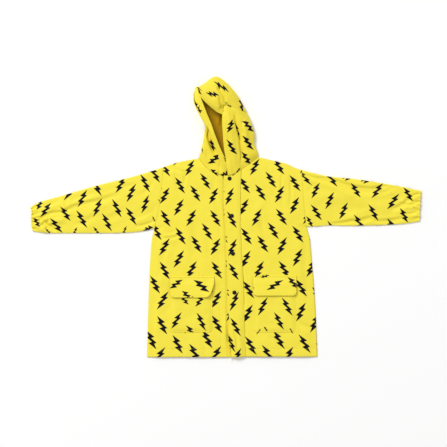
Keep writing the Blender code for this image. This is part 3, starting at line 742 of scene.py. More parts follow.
# The free end: its share of the length, its lift at the edge, and how far, and where, the edge above
# it is drawn in.
FREE_SHARE = 0.34
FREE_LIFT = 4.4
EDGE_DRAWN_IN = 3.6
DRAWN_IN_AT = -276
DRAWN_IN_REACH = 26
NECK_RISE = 0.9
SEAM_LAP = 0.8
BAND_CRUMPLES = 0.6
BAND_SEAM_DIP = (5, 1.2)
BAND_STITCH_GROOVE = (1.3, 0.4)
BAND_PUCKER = 0.3
BAND_FOLDS = [
    (3, -270, 5, -322, 0, 5, 3.6),
    (10, -272, 13, -314, 1, 3.6, -6.0),
    (14, -318, 18, -371, 0, 4.6, -5.6),
    (24, -308, 32, -342, -1, 3.5, -2.6),
    (31, -310, 38, -340, 1, 3, -1.6),
    (25, -352, 30, -372, 0, 4, 1.6),
]

# Bolts charted where they lie: (across, up) of the middle, lean in degrees, length and, where
# a fold hides part of one, girth. A bit of a bolt is as wide as it is long. On sloping cloth a bolt is
# stretched so that it shows as charted, within these two shares.
BIT_LENGTH = 24
CHARTED_GIRTH = 50
NEIGHBOURS = 2
PRINT_STRETCH = (0.7, 1.6)
BAND_BOLTS = [
    (10, 54.5, 25, 51), (16, -7, -31, 50), (17.5, -81, 26.5, 51), (21, -144.5, -31, 52),
    (22.5, -223.5, 25, 57), (26, -291, -29.5, 55), (14.5, -334, -24, 51, 44), (29.5, -371, 25, 52),
    (-16, 87, -31, 50), (-8, -46.5, -31, 50), (-3.5, -188, -31, 50), (22, 113, 60, 14),
]


def band_height(u, v):
    """Mid-height of the band: flat where it is fastened, lifted where it hangs free at the hem."""
    free = 1 - smooth(v / FREE_SHARE)
    lift = free * FREE_LIFT * (1 - smooth((u - 0.55) / 0.45))
    return BAND_REST + NECK_RISE * smooth((v - 0.93) / 0.07) + lift


def charted(grid, print_at, bolts, part=np.s_[:, :]):
    """Bolts charted as seen from above, laid as (across, up, lean, length, girth) in the cloth's print."""
    plan, place = grid[part][..., :2], print_at[part]
    laid = []
    for x, y, lean, length, *wide in bolts:
        nearest = np.unravel_index(np.hypot(*(plan - (x, y)).T).T.argmin(), plan.shape[:2])
        row, column = (
            min(max(at, NEIGHBOURS), size - 1 - NEIGHBOURS) for at, size in zip(nearest, plan.shape)
        )
        rows, columns = (slice(at - NEIGHBOURS, at + NEIGHBOURS + 1) for at in (row, column))
        near = (plan[rows, columns] - plan[row, column]).reshape(-1, 2)
        moved = (place[rows, columns] - place[row, column]).reshape(-1, 2)
        turn = np.linalg.lstsq(near, moved, rcond=0.01)[0]
        first, sizes, last = np.linalg.svd(turn)
        turn = first @ np.diag(np.clip(sizes, *PRINT_STRETCH)) @ last
        middle = place[row, column] + ((x, y) - plan[row, column]) @ turn
        angle = math.radians(lean)
        reach = np.array([math.sin(angle), math.cos(angle)]) * length @ turn
        if reach[1] < 0:
            reach = -reach
        stretch = np.hypot(*reach) / length
        girth = wide[0] if wide else length if length < BIT_LENGTH else CHARTED_GIRTH
        girth *= abs(np.linalg.det(turn)) / stretch
        laid.append((*middle, math.degrees(math.atan2(reach[0], reach[1])), np.hypot(*reach), girth))
    return laid


edge, band_seam, band_top = seam(BAND_EDGE), seam(BAND_SEAM), seam(BAND_TOP)
up = divided(edge, BAND_STEP_UP, [HEM_STITCH])
across = divided(hem_line(edge[0], band_seam[0]), BAND_STEP_ACROSS, BAND_STITCHES)
plan = panel_plan(edge, band_seam, band_top, across, up)
x, y = plan[..., 0], plan[..., 1]
drawn = EDGE_DRAWN_IN * bell(y - DRAWN_IN_AT, DRAWN_IN_REACH) * (1 - across)
x = x + drawn + SEAM_LAP * smooth((across - 0.85) / 0.15)
z = band_height(across[None, :], up[:, None])
fold_gap = x - x[:, :1]
seam_gap = x[:, -1:] - x
z += BAND_CRUMPLES * crumple(x, y, 37) * smooth(seam_gap / 10) + dip(seam_gap, *BAND_SEAM_DIP)
z = np.maximum(z + fold_height(BAND_FOLDS, x, y), np.minimum(z, BAND_REST))
z += BAND_PUCKER * uneven(0.4 * fold_gap, y, 9, 38) * bell(fold_gap - BAND_STITCHES[0], 6)
z += BAND_PUCKER * uneven(0.4 * seam_gap, y, 9, 39) * bell(seam_gap, 6)
upper = z + BAND_SPLIT / 2 + sum(dip(fold_gap - line, *BAND_STITCH_GROOVE) for line in BAND_STITCHES)
lower = z - BAND_SPLIT / 2
turns = np.linspace(-math.pi / 2, math.pi / 2, BAND_FOLD_STEPS + 1)[1:-1]
fold = np.column_stack([x[:, 0], y[:, 0], z[:, 0]])[:, None] + BAND_SPLIT / 2 * np.column_stack(
    [-np.cos(turns), 0 * turns, np.sin(turns)]
)
band_grid = np.concatenate([np.dstack([x, y, lower])[:, ::-1], fold, np.dstack([x, y, upper])], 1)
wrapped = np.concatenate([2 * x[:, :1] - x[:, ::-1], fold[..., 0], x], 1)
upper_columns = np.s_[:, -len(across):]
upper_part = band_grid[upper_columns]
place = np.dstack([wrapped, band_grid[..., 1]])
look = cloth_look("printed_cloth_band", charted(band_grid, place, BAND_BOLTS, upper_columns))
band = cloth("front_band_strip", band_grid, place, [look, look], thickness=BAND_PLY, even=False)
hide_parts("front_band")
columns = [np.abs(across * BAND_WIDTH - line).argmin() for line in BAND_STITCHES]
band_sewing = sew("front_band_stitches", [stitch_path(upper_part, np.s_[:, c], BAND_PLY) for c in columns])

# ---- Patch pockets and their flaps ----
# Each pocket is one patch of the printed cloth with rounded lower corners, stitched down on three
# sides and open at the top. Its flap, two layers bagged out, is stitched on above and hangs loose.
POCKET_COLUMNS = ("left", "right", "bottom", "top", "corner")
POCKETS = {
    "right": {"pocket": (-146, -36, -305, -171, 9), "flap": (-148, -31, -213, -156, 12)},
    "left": {"pocket": (75, 183, -305, -172, 9), "flap": (72, 187, -208, -154, 11)},
}
PATCH_STEP = 2.6
PATCH_STITCH = 3.0
PATCH_GROOVE = (1.4, 0.5)
CORNER_STEPS = 9
STITCH_CORNER = 6
POCKET_HEM = 20
POCKET_PUFF = 1.3
MOUTH_PUFF = 0.6
MOUTH_REACH = 30
PATCH_CRUMPLES = 0.8
PATCH_GAP = 0.1
FLAP_CLOTH = 1.4
FLAP_TOP_STITCH = 6
FLAP_TOP_GROOVE = (1.8, 0.8)
FLAP_EDGE_GROOVE = (1.4, 0.4)
# How a flap rises from its seam: the roll at its top and the roll's depth, then its slope and droop.
FLAP_ROLL = 1.3
ROLL_DEPTH = 2.2
FLAP_SLOPE = 2.1
FLAP_DROOP = 2.6
# The right flap's lower corner by the band curls: how wide it is, how far it is drawn in and down, its
# lift, and the width and height of the loose edge beside the band.
CORNER_WIDTH = 34
CORNER_DRAWN = (10, -2)
CORNER_LIFT = 4
LOOSE_WIDTH = 16
LOOSE_LIFT = 2.2

POCKET_BOLTS = {
    "right": [
        (-109, -220, -45, 32, 42), (-69, -222, 38, 38, 46), (-130.6, -274.1, 32, 51),
        (-64.7, -277.2, -27, 53), (-91, -304, -40, 44),
    ],
    "left": [
        (98, -236.5, 28, 55), (162.5, -237.2, -31, 55), (140.7, -275, -30, 52), (88.8, -301, 38, 14),
        (106, -296.5, -42, 19), (173, -300, -35, 16),
    ],
}
FLAP_BOLTS = {
    "right": [
        (-131.5, -177.6, 57, 42), (-64.2, -182.6, -53, 52, 62), (-103, -207.5, -48, 34, 52),
        (-87.9, -211, 60, 8),
    ],
    "left": [
        (130, -180.3, 60, 51), (178.4, -174.6, -45, 42), (73, -187, -40, 8), (103, -157, 80, 26, 30),
        (90.9, -137, 31, 52.5, 56),
    ],
}


def top_of(*pieces):
    """A function that gives the height, in millimetres, of the highest face at points."""
    graph = bpy.context.evaluated_depsgraph_get()
    trees = [BVHTree.FromObject(piece, graph) for piece in pieces]

    def height(x, y):
        found = np.full(np.shape(x), -1.0)
        for place in np.ndindex(np.shape(x)):
            for tree in trees:
                hit = tree.ray_cast(Vector((x[place] * MM, y[place] * MM, 1)), Vector((0, 0, -1)))[0]
                if hit is not None:
                    found[place] = max(found[place], hit.z / MM)
        return found

    return height


def patch_plan(left, right, bottom, top, corner, lines):
    """A rectangle's grid whose two lower corners are rounded, and the distance to its sewn edges."""
    turns = np.linspace(0, math.pi / 2, CORNER_STEPS + 1)
    steps = round((right - left - 2 * corner) / PATCH_STEP)
    straight = np.linspace(left + corner, right - corner, steps + 1)
    arc = left + corner * (1 - np.cos(turns))
    low_x = np.concatenate([arc, straight[1:-1], left + right - arc[::-1]])
    low_arc = bottom + corner * (1 - np.sin(turns))
    low_y = np.concatenate([low_arc, np.full(len(straight) - 2, bottom), low_arc[::-1]])
    up = divided(np.array([[0, bottom], [0, top]], float), PATCH_STEP, lines)[:, None]
    x = np.broadcast_to(low_x, (len(up), len(low_x)))
    y = low_y + (top - low_y) * up
    across_gap, up_gap = np.minimum(x - left, right - x), y - bottom
    in_corner = (across_gap < corner) & (up_gap < corner)
    round_gap = corner - np.hypot(corner - across_gap, corner - up_gap)
    return x, y, np.where(in_corner, round_gap, np.minimum(across_gap, up_gap))


def edge_path(x, y):
    """The line of stitches inside a patch's sewn edges, from the top down, round and up again."""
    left, right = x.min() + PATCH_STITCH, x.max() - PATCH_STITCH
    bottom, top = y.min() + PATCH_STITCH, y.max()
    turns = np.linspace(0, math.pi / 2, 7)
    arc = np.array([left, bottom]) + STITCH_CORNER * np.stack([1 - np.cos(turns), 1 - np.sin(turns)], -1)
    down = np.linspace((left, top - PATCH_STITCH), (left, arc[0, 1]), 60)[:-1]
    half = np.concatenate([down, arc])
    across = np.linspace((arc[-1, 0], bottom), (left + right - arc[-1, 0], bottom), 50)[1:-1]
    back = half[::-1] * (-1, 1) + (left + right, 0)
    return np.concatenate([half, across, back])


def drawn_in(plan, sizes):
    """Points of a flap moved to where its curled lower corner draws them in, and how far it curls."""
    down = (sizes["top"] - plan[..., 1]) / (sizes["top"] - sizes["bottom"])
    across = (plan[..., 0] - sizes["right"] + CORNER_WIDTH) / CORNER_WIDTH
    curl = smooth(across) * smooth((down - 0.25) / 0.75)
    return plan - np.multiply.outer(curl, CORNER_DRAWN), curl


def path_on(piece, plan):
    """A line of stitches on top of a piece, from its plan."""
    z = top_of(piece)(plan[:, 0], plan[:, 1])
    return np.column_stack([plan, z]), np.tile([0.0, 0.0, 1.0], (len(plan), 1))


for side, front in (("right", right_front), ("left", left_front)):
    sizes = dict(zip(POCKET_COLUMNS, POCKETS[side]["pocket"]))
    x, y, gap = patch_plan(**sizes, lines=[PATCH_STITCH, sizes["top"] - sizes["bottom"] - POCKET_HEM])
    mouth = MOUTH_PUFF * smooth((y - sizes["top"] + MOUTH_REACH) / MOUTH_REACH)
    loose = smooth(gap / 20)
    puff = POCKET_PUFF * smooth(gap / 12) + mouth * loose
    z = top_of(front)(x, y) + CLOTH / 2 + PATCH_GAP + puff + PATCH_CRUMPLES * crumple(x, y, 51) * loose
    z += dip(gap - PATCH_STITCH, *PATCH_GROOVE) - 0.3 * np.clip(1 - gap / 2, 0, 1) ** 2
    pocket_grid = np.dstack([x, y, z])
    place = pocket_grid[..., :2]
    look = cloth_look(f"printed_cloth_pocket_{side}", charted(pocket_grid, place, POCKET_BOLTS[side]))
    pocket = cloth(f"pocket_{side}_patch", pocket_grid, place, [look, inside_painted_shade_look])
    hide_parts(f"pocket_{side}")
    sewing = sew(f"pocket_{side}_stitches", [path_on(pocket, edge_path(x, y))])

    sizes = dict(zip(POCKET_COLUMNS, POCKETS[side]["flap"]))
    length = sizes["top"] - sizes["bottom"]
    x, y, gap = patch_plan(**sizes, lines=[PATCH_STITCH, length - FLAP_TOP_STITCH])
    down = (sizes["top"] - y) / length
    flap_path = edge_path(x, y)
    curl, loose = 0, 0
    if side == "right":
        flat_plan, curl = drawn_in(np.dstack([x, y]), sizes)
        x, y = flat_plan[..., 0], flat_plan[..., 1]
        flap_path = drawn_in(flap_path, sizes)[0]
        loose = LOOSE_LIFT * smooth((x - sizes["right"] + LOOSE_WIDTH) / LOOSE_WIDTH) * smooth(down / 0.3)
    from_top = sizes["top"] - y
    roll = np.sqrt(np.clip(1 - (1 - np.minimum(from_top / ROLL_DEPTH, 1)) ** 2, 0, 1))
    z = top_of(front)(x, y) + FLAP_CLOTH / 2 + PATCH_GAP + FLAP_ROLL * roll
    z = z + FLAP_SLOPE * smooth((down - 0.14) / 0.3) + FLAP_DROOP * down ** 2 + CORNER_LIFT * curl + loose
    z += dip(from_top - FLAP_TOP_STITCH, *FLAP_TOP_GROOVE)
    z += dip(gap - PATCH_STITCH, *FLAP_EDGE_GROOVE)
    z += PATCH_CRUMPLES * crumple(x, y, 61 if side == "right" else 67) * down
    flap_grid = np.dstack([x, y, z])
    place = flap_grid[..., :2]
    look = cloth_look(f"printed_cloth_flap_{side}", charted(flap_grid, place, FLAP_BOLTS[side]))
    looks = [look, inside_painted_shade_look]
    flap = cloth(f"pocket_flap_{side}_bagged", flap_grid, place, looks, thickness=FLAP_CLOTH)
    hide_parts(f"pocket_flap_{side}")
    top_y = sizes["top"] - FLAP_TOP_STITCH
    ends = sizes["left"] + PATCH_STITCH, sizes["right"] - PATCH_STITCH
    top_row = np.linspace((ends[0], top_y), (ends[1], top_y), 60)
    sewing = sew(f"pocket_flap_{side}_stitches", [path_on(flap, flap_path), path_on(flap, top_row)])

# ---- Sleeves ----
# Each sleeve is one piece of the printed cloth, closed along the underside and set into the armhole.
# The cuff is turned in round a band of elastic, which gathers it.
SLEEVE_LAYER = 0.6
SLEEVE_RISE = 4.4
EDGE_SHARE = 0.4
CASING = 12
CASING_GROOVE = (1.8, 0.6)
ARM_SEAM_GROOVE = (5, 0.3)
ARM_STITCH = 4
LOWEST_TOP = 1.4
CASING_RISE = 0.8
SLEEVE_CRUMPLES = 1.4
SLEEVE_STEP = 3.4
ROUND_STEPS = 132
HALF_ROUND = ROUND_STEPS // 2
ARM_GAP = 0.4
ARMHOLE_SHARE = 0.35
CUFF_REACH = 20
CUFF_ROWS = (0, 1, 2.5, 4, 5.5, 7, 8.5, 10, 11, 12, 13, 14, 16, 18, 20, 22, 24)
# The elastic gathers the cloth finely at the end and broadly above it, and leaves the end uneven.
FINE_GATHERS = 1.6
BROAD_GATHERS = 2.2
GATHERS_ROUND = (7.5, 13, 3.6)
GATHER_REACH = 26
UNEVEN_END = 2.6
UNDER_GATHERS = 0.45
SLEEVE_COLUMNS = ("upper_x", "upper_y", "lower_x", "lower_y", "puff")
RIGHT_SLEEVE = [
    (-166, 131, -188, -29, 1.00), (-205, 118.5, -220, -36.5, 1.00), (-264, 101.5, -266, -41, 1.02),
    (-325, 87, -325, -42, 1.05), (-390, 69, -390, -42, 1.08), (-440, 54, -440, -42, 1.10),
    (-476, 44.5, -476, -41.5, 1.15), (-499, 36.5, -498, -39, 1.12), (-517.6, 26, -514.5, -36, 1.05),
]
LEFT_SLEEVE = [
    (202, 124, 213.5, -25, 1.00), (230, 116.5, 240, -24, 1.00), (276, 106.5, 276, -21.5, 1.02),
    (329, 101.5, 329, -22.5, 1.05), (384, 94, 384, -21.5, 1.08), (430, 86, 430, -20, 1.10),
    (467, 79.5, 467, -17.5, 1.12), (499, 72.5, 497, -13.5, 1.10), (518.2, 69, 513.8, -10.5, 1.05),
]
RIGHT_SLEEVE_FOLDS = [
    (-502, -2, -460, 12.5, 3, 4, -4.6),
    (-466, 12, -415, 20, 3, 5, -2.8),
    (-425, 18, -355, 41, -3, 6, -2.6),
    (-364, 39, -290, 60, 3, 7, -2.2),
    (-489, -5, -454, -34, 2, 6, -7.5),
    (-503, -22, -482, -38, 2, 6, 3.4),
    (-498, -11, -483, -1, 1, 3.6, -4.2),
    (-488, -21, -471, -9, 1, 4, -4.2),
    (-477, -31, -460, -20, 1, 4, -3.6),
    (-478, 0, -432, -8, 4, 8, 4.0),
    (-486, 20, -440, 34, 2, 7, 2.2),
    (-420, 34, -340, 56, 4, 10, 1.8),
    (-420, 4, -330, 28, 5, 12, 1.8),
    (-421, 52, -419, 20, 2, 5, -1.4),
    (-398, -20, -350, 4, 3, 7, -1.4),
    (-320, -4, -270, 22, 4, 8, -1.3),
    (-300, 74, -236, 84, -3, 7, -1.4),
    (-236, -24, -190, -10, 3, 5, -2.6),
    (-240, -10, -200, 4, 3, 6, 1.6),
    (-222, 62, -196, 92, 4, 6, -1.4),
]
LEFT_SLEEVE_FOLDS = [
    (206, 113, 262, 101, 2, 5, -3.0),
    (252, 102, 318, 85, -3, 8, -5.4),
    (310, 86, 392, 72, 4, 9, -6.0),
    (392, 76, 440, 80, -3, 6, -3.0),
    (298, 93, 316, 84, 2, 4, -2.0),
    (286, -17, 334, -9, 2, 5, -4.0),
    (330, -11, 384, -1, 3, 6, -3.8),
    (380, -1, 404, -12, 2, 4, -2.8),
    (402, -10, 466, -3, 3, 6, -3.4),
    (300, 2, 372, 14, 3, 10, 2.0),
    (444, 23, 482, 46, 4, 6, -4.2),
    (462, 37, 496, 33, 2, 4, -3.6),
    (478, 9, 510, 15, 2, 4, -2.6),
    (404, 64, 440, 76, 2, 5, -2.0),
    (484, 56, 508, 62, 2, 4, -2.8),
    (236, 62, 330, 54, 5, 16, 1.4),
    (340, 46, 420, 30, 5, 14, 1.2),
]
SLEEVE_BOLTS = {
    "right": [
        (-213.2, 89.6, -28, 54), (-278.6, 85.3, 32, 50), (-250.6, 63.6, 27, 54), (-379.6, 49.3, 29, 52),
        (-213.2, 33.7, 22, 52), (-339.6, 25.2, 25, 54), (-288.2, 23.1, -28, 54), (-476.5, 19, 38, 46),
        (-424.4, 8.7, -36, 46), (-249.8, 2.1, -31, 54), (-381.2, -5.6, -32, 54),
        (-314.7, -13.8, -29, 54), (-448.5, -22.5, -41, 50), (-206, -31.5, 72, 28), (-190.5, -5.5, -30, 18),
        (-500.5, -14, -38, 30, 46), (-187.5, 113, -32, 52), (-175, 42, -35, 14), (-343.5, 82.9, -35, 52),
        (-413, 67.5, 38, 50), (-493.5, 33, 30, 30), (-470, -38, -50, 22, 20), (-399, -37, 30, 24, 24),
        (-342, -37, -40, 30, 26), (-268, -36, 25, 28, 26),
    ],
    "left": [
        (208.6, 104.7, -43, 58, 40), (281, 101, -35, 50), (237.5, 69.9, 28, 46), (275, 43.5, 27, 50),
        (312, 16.3, 27, 50), (240.5, 12, -36, 50), (344.2, 70.9, -34, 46), (401.3, 69.9, 38, 50),
        (443.4, 41.1, 38, 52), (391, 11.9, -32, 50), (472.2, 4.3, -30, 44), (353.4, -15, -34, 50),
        (283, -33, -33, 50), (222.5, -12.5, -33, 34, 38), (483.3, 60, -35, 44), (318, 105, -70, 26),
        (367, 98, -70, 26), (440, -24, -36, 40), (207.5, -10, 14, 18), (497.6, 26, -60, 6),
        (515, 19, 80, 6), (515, 9, 80, 6),
    ],
}


def reach_across(grid):
    """How far each point lies from the first column, along its row of cloth."""
    steps = np.linalg.norm(np.diff(grid, axis=1), axis=-1)
    return np.concatenate([np.zeros((len(grid), 1)), np.cumsum(steps, axis=1)], 1)


def wrapped_cloth(name, grid, print_at, look, hidden, **build):
    """A piece that comes round to its underside, where the hidden faces have the plain repeat."""
    below = np.zeros((grid.shape[0] - 1, grid.shape[1] - 1), int)
    below[hidden] = 1
    looks = [look, printed_look, inside_painted_shade_look, inside_painted_shade_look]
    return cloth(name, grid, print_at, looks, second=below, **build)


def sleeve_grid(stations, armhole, folds, outward, seed):
    """A sleeve as rings from armhole to cuff. A ring crosses the upper layer and comes back below."""
    shape = dict(zip(SLEEVE_COLUMNS, np.array(stations, float).T))
    upper, lower = (np.column_stack([shape[edge + "_x"], shape[edge + "_y"]]) for edge in ("upper", "lower"))
    middle = curve_through((upper + lower) / 2, np.linspace(0, 1, 200))
    length = lengths_along(middle)[-1]
    close = [length - distance for distance in CUFF_ROWS]
    regular = np.linspace(0, length - CUFF_ROWS[-1] - 2, round(length / SLEEVE_STEP))
    s = np.sort(np.concatenate([regular, close, [1, 2]])) / length
    turn = 2 * math.pi * np.arange(ROUND_STEPS + 1) / ROUND_STEPS
    w = 0.5 - 0.5 * np.cos(turn)
    high, low = (curve_through(line, s)[:, None] for line in (upper, lower))
    puff = curve_through(shape["puff"], s)[:, None]
    hole = np.array(armhole, float)
    bow = curve_through(hole, w) - (hole[0] + (hole[-1] - hole[0]) * w[:, None])
    plan = low + (high - low) * w[:, None] + bow[None] * (1 - smooth(s / ARMHOLE_SHARE))[:, None, None]
    x, y = plan[..., 0] - outward * ARM_GAP, plan[..., 1]
    on_top = (turn <= math.pi + 1e-9)[None]
    from_cuff = ((1 - s) * length)[:, None]
    waves = np.abs(uneven(70 * w[None], 0 * w[None], 15, seed + 3))
    x = x - outward * UNEVEN_END * waves * bell(from_cuff, 11)
    rise = SLEEVE_RISE * puff
    edge = rise * EDGE_SHARE
    roof = dome(w, 3)[None]
    wander = w[None] + 0.03 * uneven(from_cuff * np.ones_like(x), 60 * w[None], 30, seed)
    few, many, fewest = (2 * math.pi * count * wander for count in GATHERS_ROUND)
    fine = np.sin(few + 0.6) + 0.5 * np.sin(many + seed)
    broad = np.sin(fewest + 1.1 * seed)
    gather = FINE_GATHERS * fine * bell(from_cuff, GATHER_REACH)
    gather = gather + BROAD_GATHERS * broad * bell(from_cuff - GATHER_REACH, 22)
    casing = CASING_RISE * np.sin(math.pi * np.clip(from_cuff / CASING, 0, 1)) ** 0.7
    casing = casing + dip(from_cuff - CASING, *CASING_GROOVE)
    from_arm = s[:, None] * length
    loose = 1 - smooth((CUFF_REACH - from_cuff) / CUFF_REACH)
    wrinkles = fold_height(folds, x, y) + SLEEVE_CRUMPLES * crumple(x, y, seed) * loose
    wrinkles = wrinkles * smooth(from_arm / ARMHOLE_SLOPE)
    crown = edge + (rise - edge) * roof
    top = crown + (gather + wrinkles + casing) * roof
    top = np.where(roof > 0.5, np.maximum(top, LOWEST_TOP), top)
    belly = edge * np.maximum(0, 1 - dome(w, 8)[None] / 0.97)
    under = belly + UNDER_GATHERS * np.maximum(gather, 0) * roof
    z = SLEEVE_LAYER + np.where(on_top, top + dip(from_arm, *ARM_SEAM_GROOVE), under)
    grid = np.dstack([x, y, z])
    grid[:, -1] = grid[:, 0]
    unpuckered = np.dstack([x, y, np.where(on_top, crown, belly)])
    along = (x[:, :1] + x[:, HALF_ROUND][:, None]) / 2
    print_at = np.dstack([np.broadcast_to(along, x.shape), y[:, :1] + reach_across(unpuckered)])
    return grid, print_at, from_arm[:, 0], length


for side, stations, armhole, folds, outward, seed in (
    ("right", RIGHT_SLEEVE, RIGHT_ARMHOLE, RIGHT_SLEEVE_FOLDS, -1, 71),
    ("left", LEFT_SLEEVE, LEFT_ARMHOLE, LEFT_SLEEVE_FOLDS, 1, 83),
):
    sleeve, print_at, along, length = sleeve_grid(stations, armhole, folds, outward, seed)
    bolts = charted(sleeve, print_at, SLEEVE_BOLTS[side], np.s_[:, : HALF_ROUND + 1])
    look = cloth_look(f"printed_cloth_sleeve_{side}", bolts)
    tube = wrapped_cloth(
        f"sleeve_{side}_tube", sleeve, print_at, look, np.s_[:, HALF_ROUND:], ring=True, turned=outward > 0,
    )
    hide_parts(f"sleeve_{side}")
    casing_row = np.abs(length - along - CASING).argmin()
    arm_row = np.abs(along - ARM_STITCH).argmin()
    facing = sleeve[:, ::-1] if outward > 0 else sleeve
    upper_half = np.s_[HALF_ROUND:] if outward > 0 else np.s_[: HALF_ROUND + 1]
    paths = [stitch_path(facing, np.s_[row, upper_half]) for row in (casing_row, arm_row)]
    sewing = sew(f"sleeve_{side}_stitches", paths)

# ---- Press studs ----
# Four domed caps of hard black plastic with a low rim. Each is pressed through the front band on to its
# socket, which snaps on to a post on the right front, below the band.
SNAP_RADIUS = 5.5
SNAP_HEIGHT = 1.9
SNAP_TURNS = 48
CAP_GAP = 0.05
SNAPS = [(10, 102), (16, 3), (19, -97), (23, -200)]
# A cap's profile from the middle of its top, in shares of its radius and height.
SNAP_PROFILE = [
    (0, 0.96), (0.2, 0.955), (0.42, 0.93), (0.6, 0.86), (0.72, 0.77), (0.78, 0.72), (0.84, 0.73),
    (0.92, 0.66), (0.98, 0.48), (1, 0.28), (0.99, 0.08), (0.95, 0), (0, 0),
]
CAP_BLACKS = ((0.003, 0.003, 0.004, 1), (0.01, 0.01, 0.012, 1))
CAP_GLOSS = 0.2
CAP_ROUGHNESS = {"To Min": 0.35, "To Max": 0.5}
cap_look, tree, shader, wear = mottled_look("black_cap", 0.4, CAP_BLACKS, 700.0, 3.0, relief=0.2)
shader.inputs["Specular IOR Level"].default_value = CAP_GLOSS
worn = add_node(tree, "ShaderNodeMapRange", {"Value": wear, **CAP_ROUGHNESS})
tree.links.new(worn, shader.inputs["Roughness"])
profile = np.array(SNAP_PROFILE) * (SNAP_RADIUS, SNAP_HEIGHT)
for number, (x, y) in enumerate(SNAPS, 1):
    seat = float(top_of(band)(np.array([x]), np.array([y]))[0])
    bm = bmesh.new()
    rings = []
    for radius, rise in profile:
        turns = [0] if radius == 0 else 2 * math.pi * np.arange(SNAP_TURNS) / SNAP_TURNS
        points = [(radius * math.cos(turn), radius * math.sin(turn), rise) for turn in turns]
        rings.append([bm.verts.new(Vector(point) * MM) for point in points])
    for inner, outer in zip(rings, rings[1:]):
        for k in range(SNAP_TURNS):
            corners = [inner[k % len(inner)], outer[k % len(outer)], outer[(k + 1) % len(outer)]]
            corners.append(inner[(k + 1) % len(inner)])
            bm.faces.new(list(dict.fromkeys(corners)))
    mesh = bpy.data.meshes.new(f"snap_cap_{number}")
    bm.to_mesh(mesh)
    bm.free()
    mesh.materials.append(cap_look)
    mesh.shade_smooth()
    cap = placed(mesh.name, mesh)
    cap.location = (x * MM, y * MM, (seat + CAP_GAP) * MM)
    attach(cap, "root")
    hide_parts(f"snap_{number}")

# ---- Hood ----
# Two sides and a centre strip of the printed cloth, which runs from the forehead over the crown to the
# neck, sewn to each other and to the necklines. Their front edges have a plain hem round the face.
HOOD_COLUMNS = ("face", "inner", "middle", "outer", "side", "under", "seam")
HOOD_LEFT = [
    [(5, 111, 6.0), (23, 117, 6.5), (42, 126, 6.5), (66, 143, 5.0),
     (86, 159.5, 2.0), (70, 154, 0), (46, 150, 0)],
    [(1, 148, 12), (22, 150, 17), (42, 152, 11), (62, 160, 14),
     (83, 172, 7), (68, 172, 0), (46, 168, 0)],
    [(-5, 185, 19), (18, 187, 25), (38, 189, 17), (56, 190, 19),
     (75, 194, 8), (62, 192, 0), (46, 189, 0)],
    [(-8, 224, 26), (14, 226, 33), (34, 225, 23), (54, 222, 25),
     (75.5, 219, 9), (61, 216, 0), (46, 213, 0)],
    [(-9.5, 252, 30), (8, 257, 37), (25, 253, 27), (46, 249, 27),
     (67.5, 247, 9), (55, 241, 0), (44, 236, 0)],
    [(-9, 270, 30), (-4, 294, 31), (15, 292.5, 31.5), (38, 282, 26),
     (56, 276, 8), (48, 268, 0), (42, 260, 0)],
]
HOOD_RIGHT = [
    [(3, 110, 5.4), (-20, 113, 6.0), (-40, 123, 6.0), (-58, 139, 5.0),
     (-70, 156, 2.0), (-55, 152, 0), (-38, 149, 0)],
    [(-1, 143, 10), (-15, 146, 11), (-37, 150, 7), (-55, 158, 8),
     (-66, 169, 6), (-53, 167, 0), (-38, 164, 0)],
    [(-14, 180, 18), (-27, 176, 17), (-38, 180, 8), (-53, 184, 11),
     (-62.5, 186, 6), (-50, 183, 0), (-38, 181, 0)],
    [(-29, 220, 26), (-40, 215, 24), (-46, 217, 12), (-52, 220, 12),
     (-56, 222, 8), (-45, 218, 0), (-36, 214, 0)],
    [(-38, 245, 27), (-49, 241, 26), (-53, 243, 17), (-55.5, 245, 13),
     (-56, 247, 8), (-47, 243, 0), (-38, 238, 0)],
    [(-48.5, 270, 28), (-59, 266, 27), (-66, 268, 20), (-69, 270, 14),
     (-70, 273, 8), (-59, 268, 0), (-47, 262, 0)],
    [(-61, 302, 27), (-71, 299, 27), (-78, 300, 20), (-82, 302, 14),
     (-83.5, 304, 8), (-73, 300, 0), (-60, 293, 0)],
    [(-68, 320, 24), (-74, 321, 24), (-79, 322, 19), (-82, 323, 14),
     (-84, 324, 8), (-74, 318, 0), (-62, 311, 0)],
    [(-75, 345, 17), (-77, 344, 16), (-79, 342.5, 14), (-80.5, 340, 11),
     (-81, 337, 8), (-75, 331, 0), (-66, 324, 0)],
]
# The centre strip's ribs between the two side seams, from the forehead over the crest to the neck.
CROWN_RIBS = [
    [(-62, 313, 27), (-44, 294, 29), (-25, 278, 30)],
    [(-60, 329, 32), (-40, 310, 36), (-22, 291, 36)],
    [(-62, 341, 27), (-34, 336, 35), (-7, 311, 36)],
    [(-60, 348, 17), (-27, 358, 23), (13, 325, 26)],
    [(-58, 351.5, 7.5), (-23, 371, 8), (22, 333, 8.5)],
    [(-54, 344, 0), (-21, 358, 0), (16, 321, 0)],
    [(-48, 330, 0), (-18, 335, 0), (14, 300, 0)],
    [(-42, 300, 0), (-12, 302, 0), (14, 278, 0)],
    [(-36, 262, 0), (-4, 262, 0), (24, 248, 0)],
    [(-32, 222, 0), (2, 222, 0), (28, 214, 0)],
    [(-28, 184, 0), (4, 184, 0), (30, 182, 0)],
    [(-24, 148, 0), (4, 147, 0), (30, 148, 0)],
]
HOOD_LAYER = 0.6
# Steps of the cloth: a side's across, those of them on its upper layer, and up, and the strip's across.
HOOD_ACROSS = 108
HOOD_TOP = 66
HOOD_UP = 72
STRIP_ACROSS = 60
# The strip's share of the back's neckline, and the band's share of the left side's neck edge.
STRIP_BACK = (7 / 24, 17 / 24)
NECK_PARTS = 11
BAND_PARTS = 4
# Rows or columns over which the cloth changes: above the neck, at a side's outer edge, at the crest.
NECK_ROWS = 12
EDGE_COLUMNS = 6
CREST_ROWS = 8
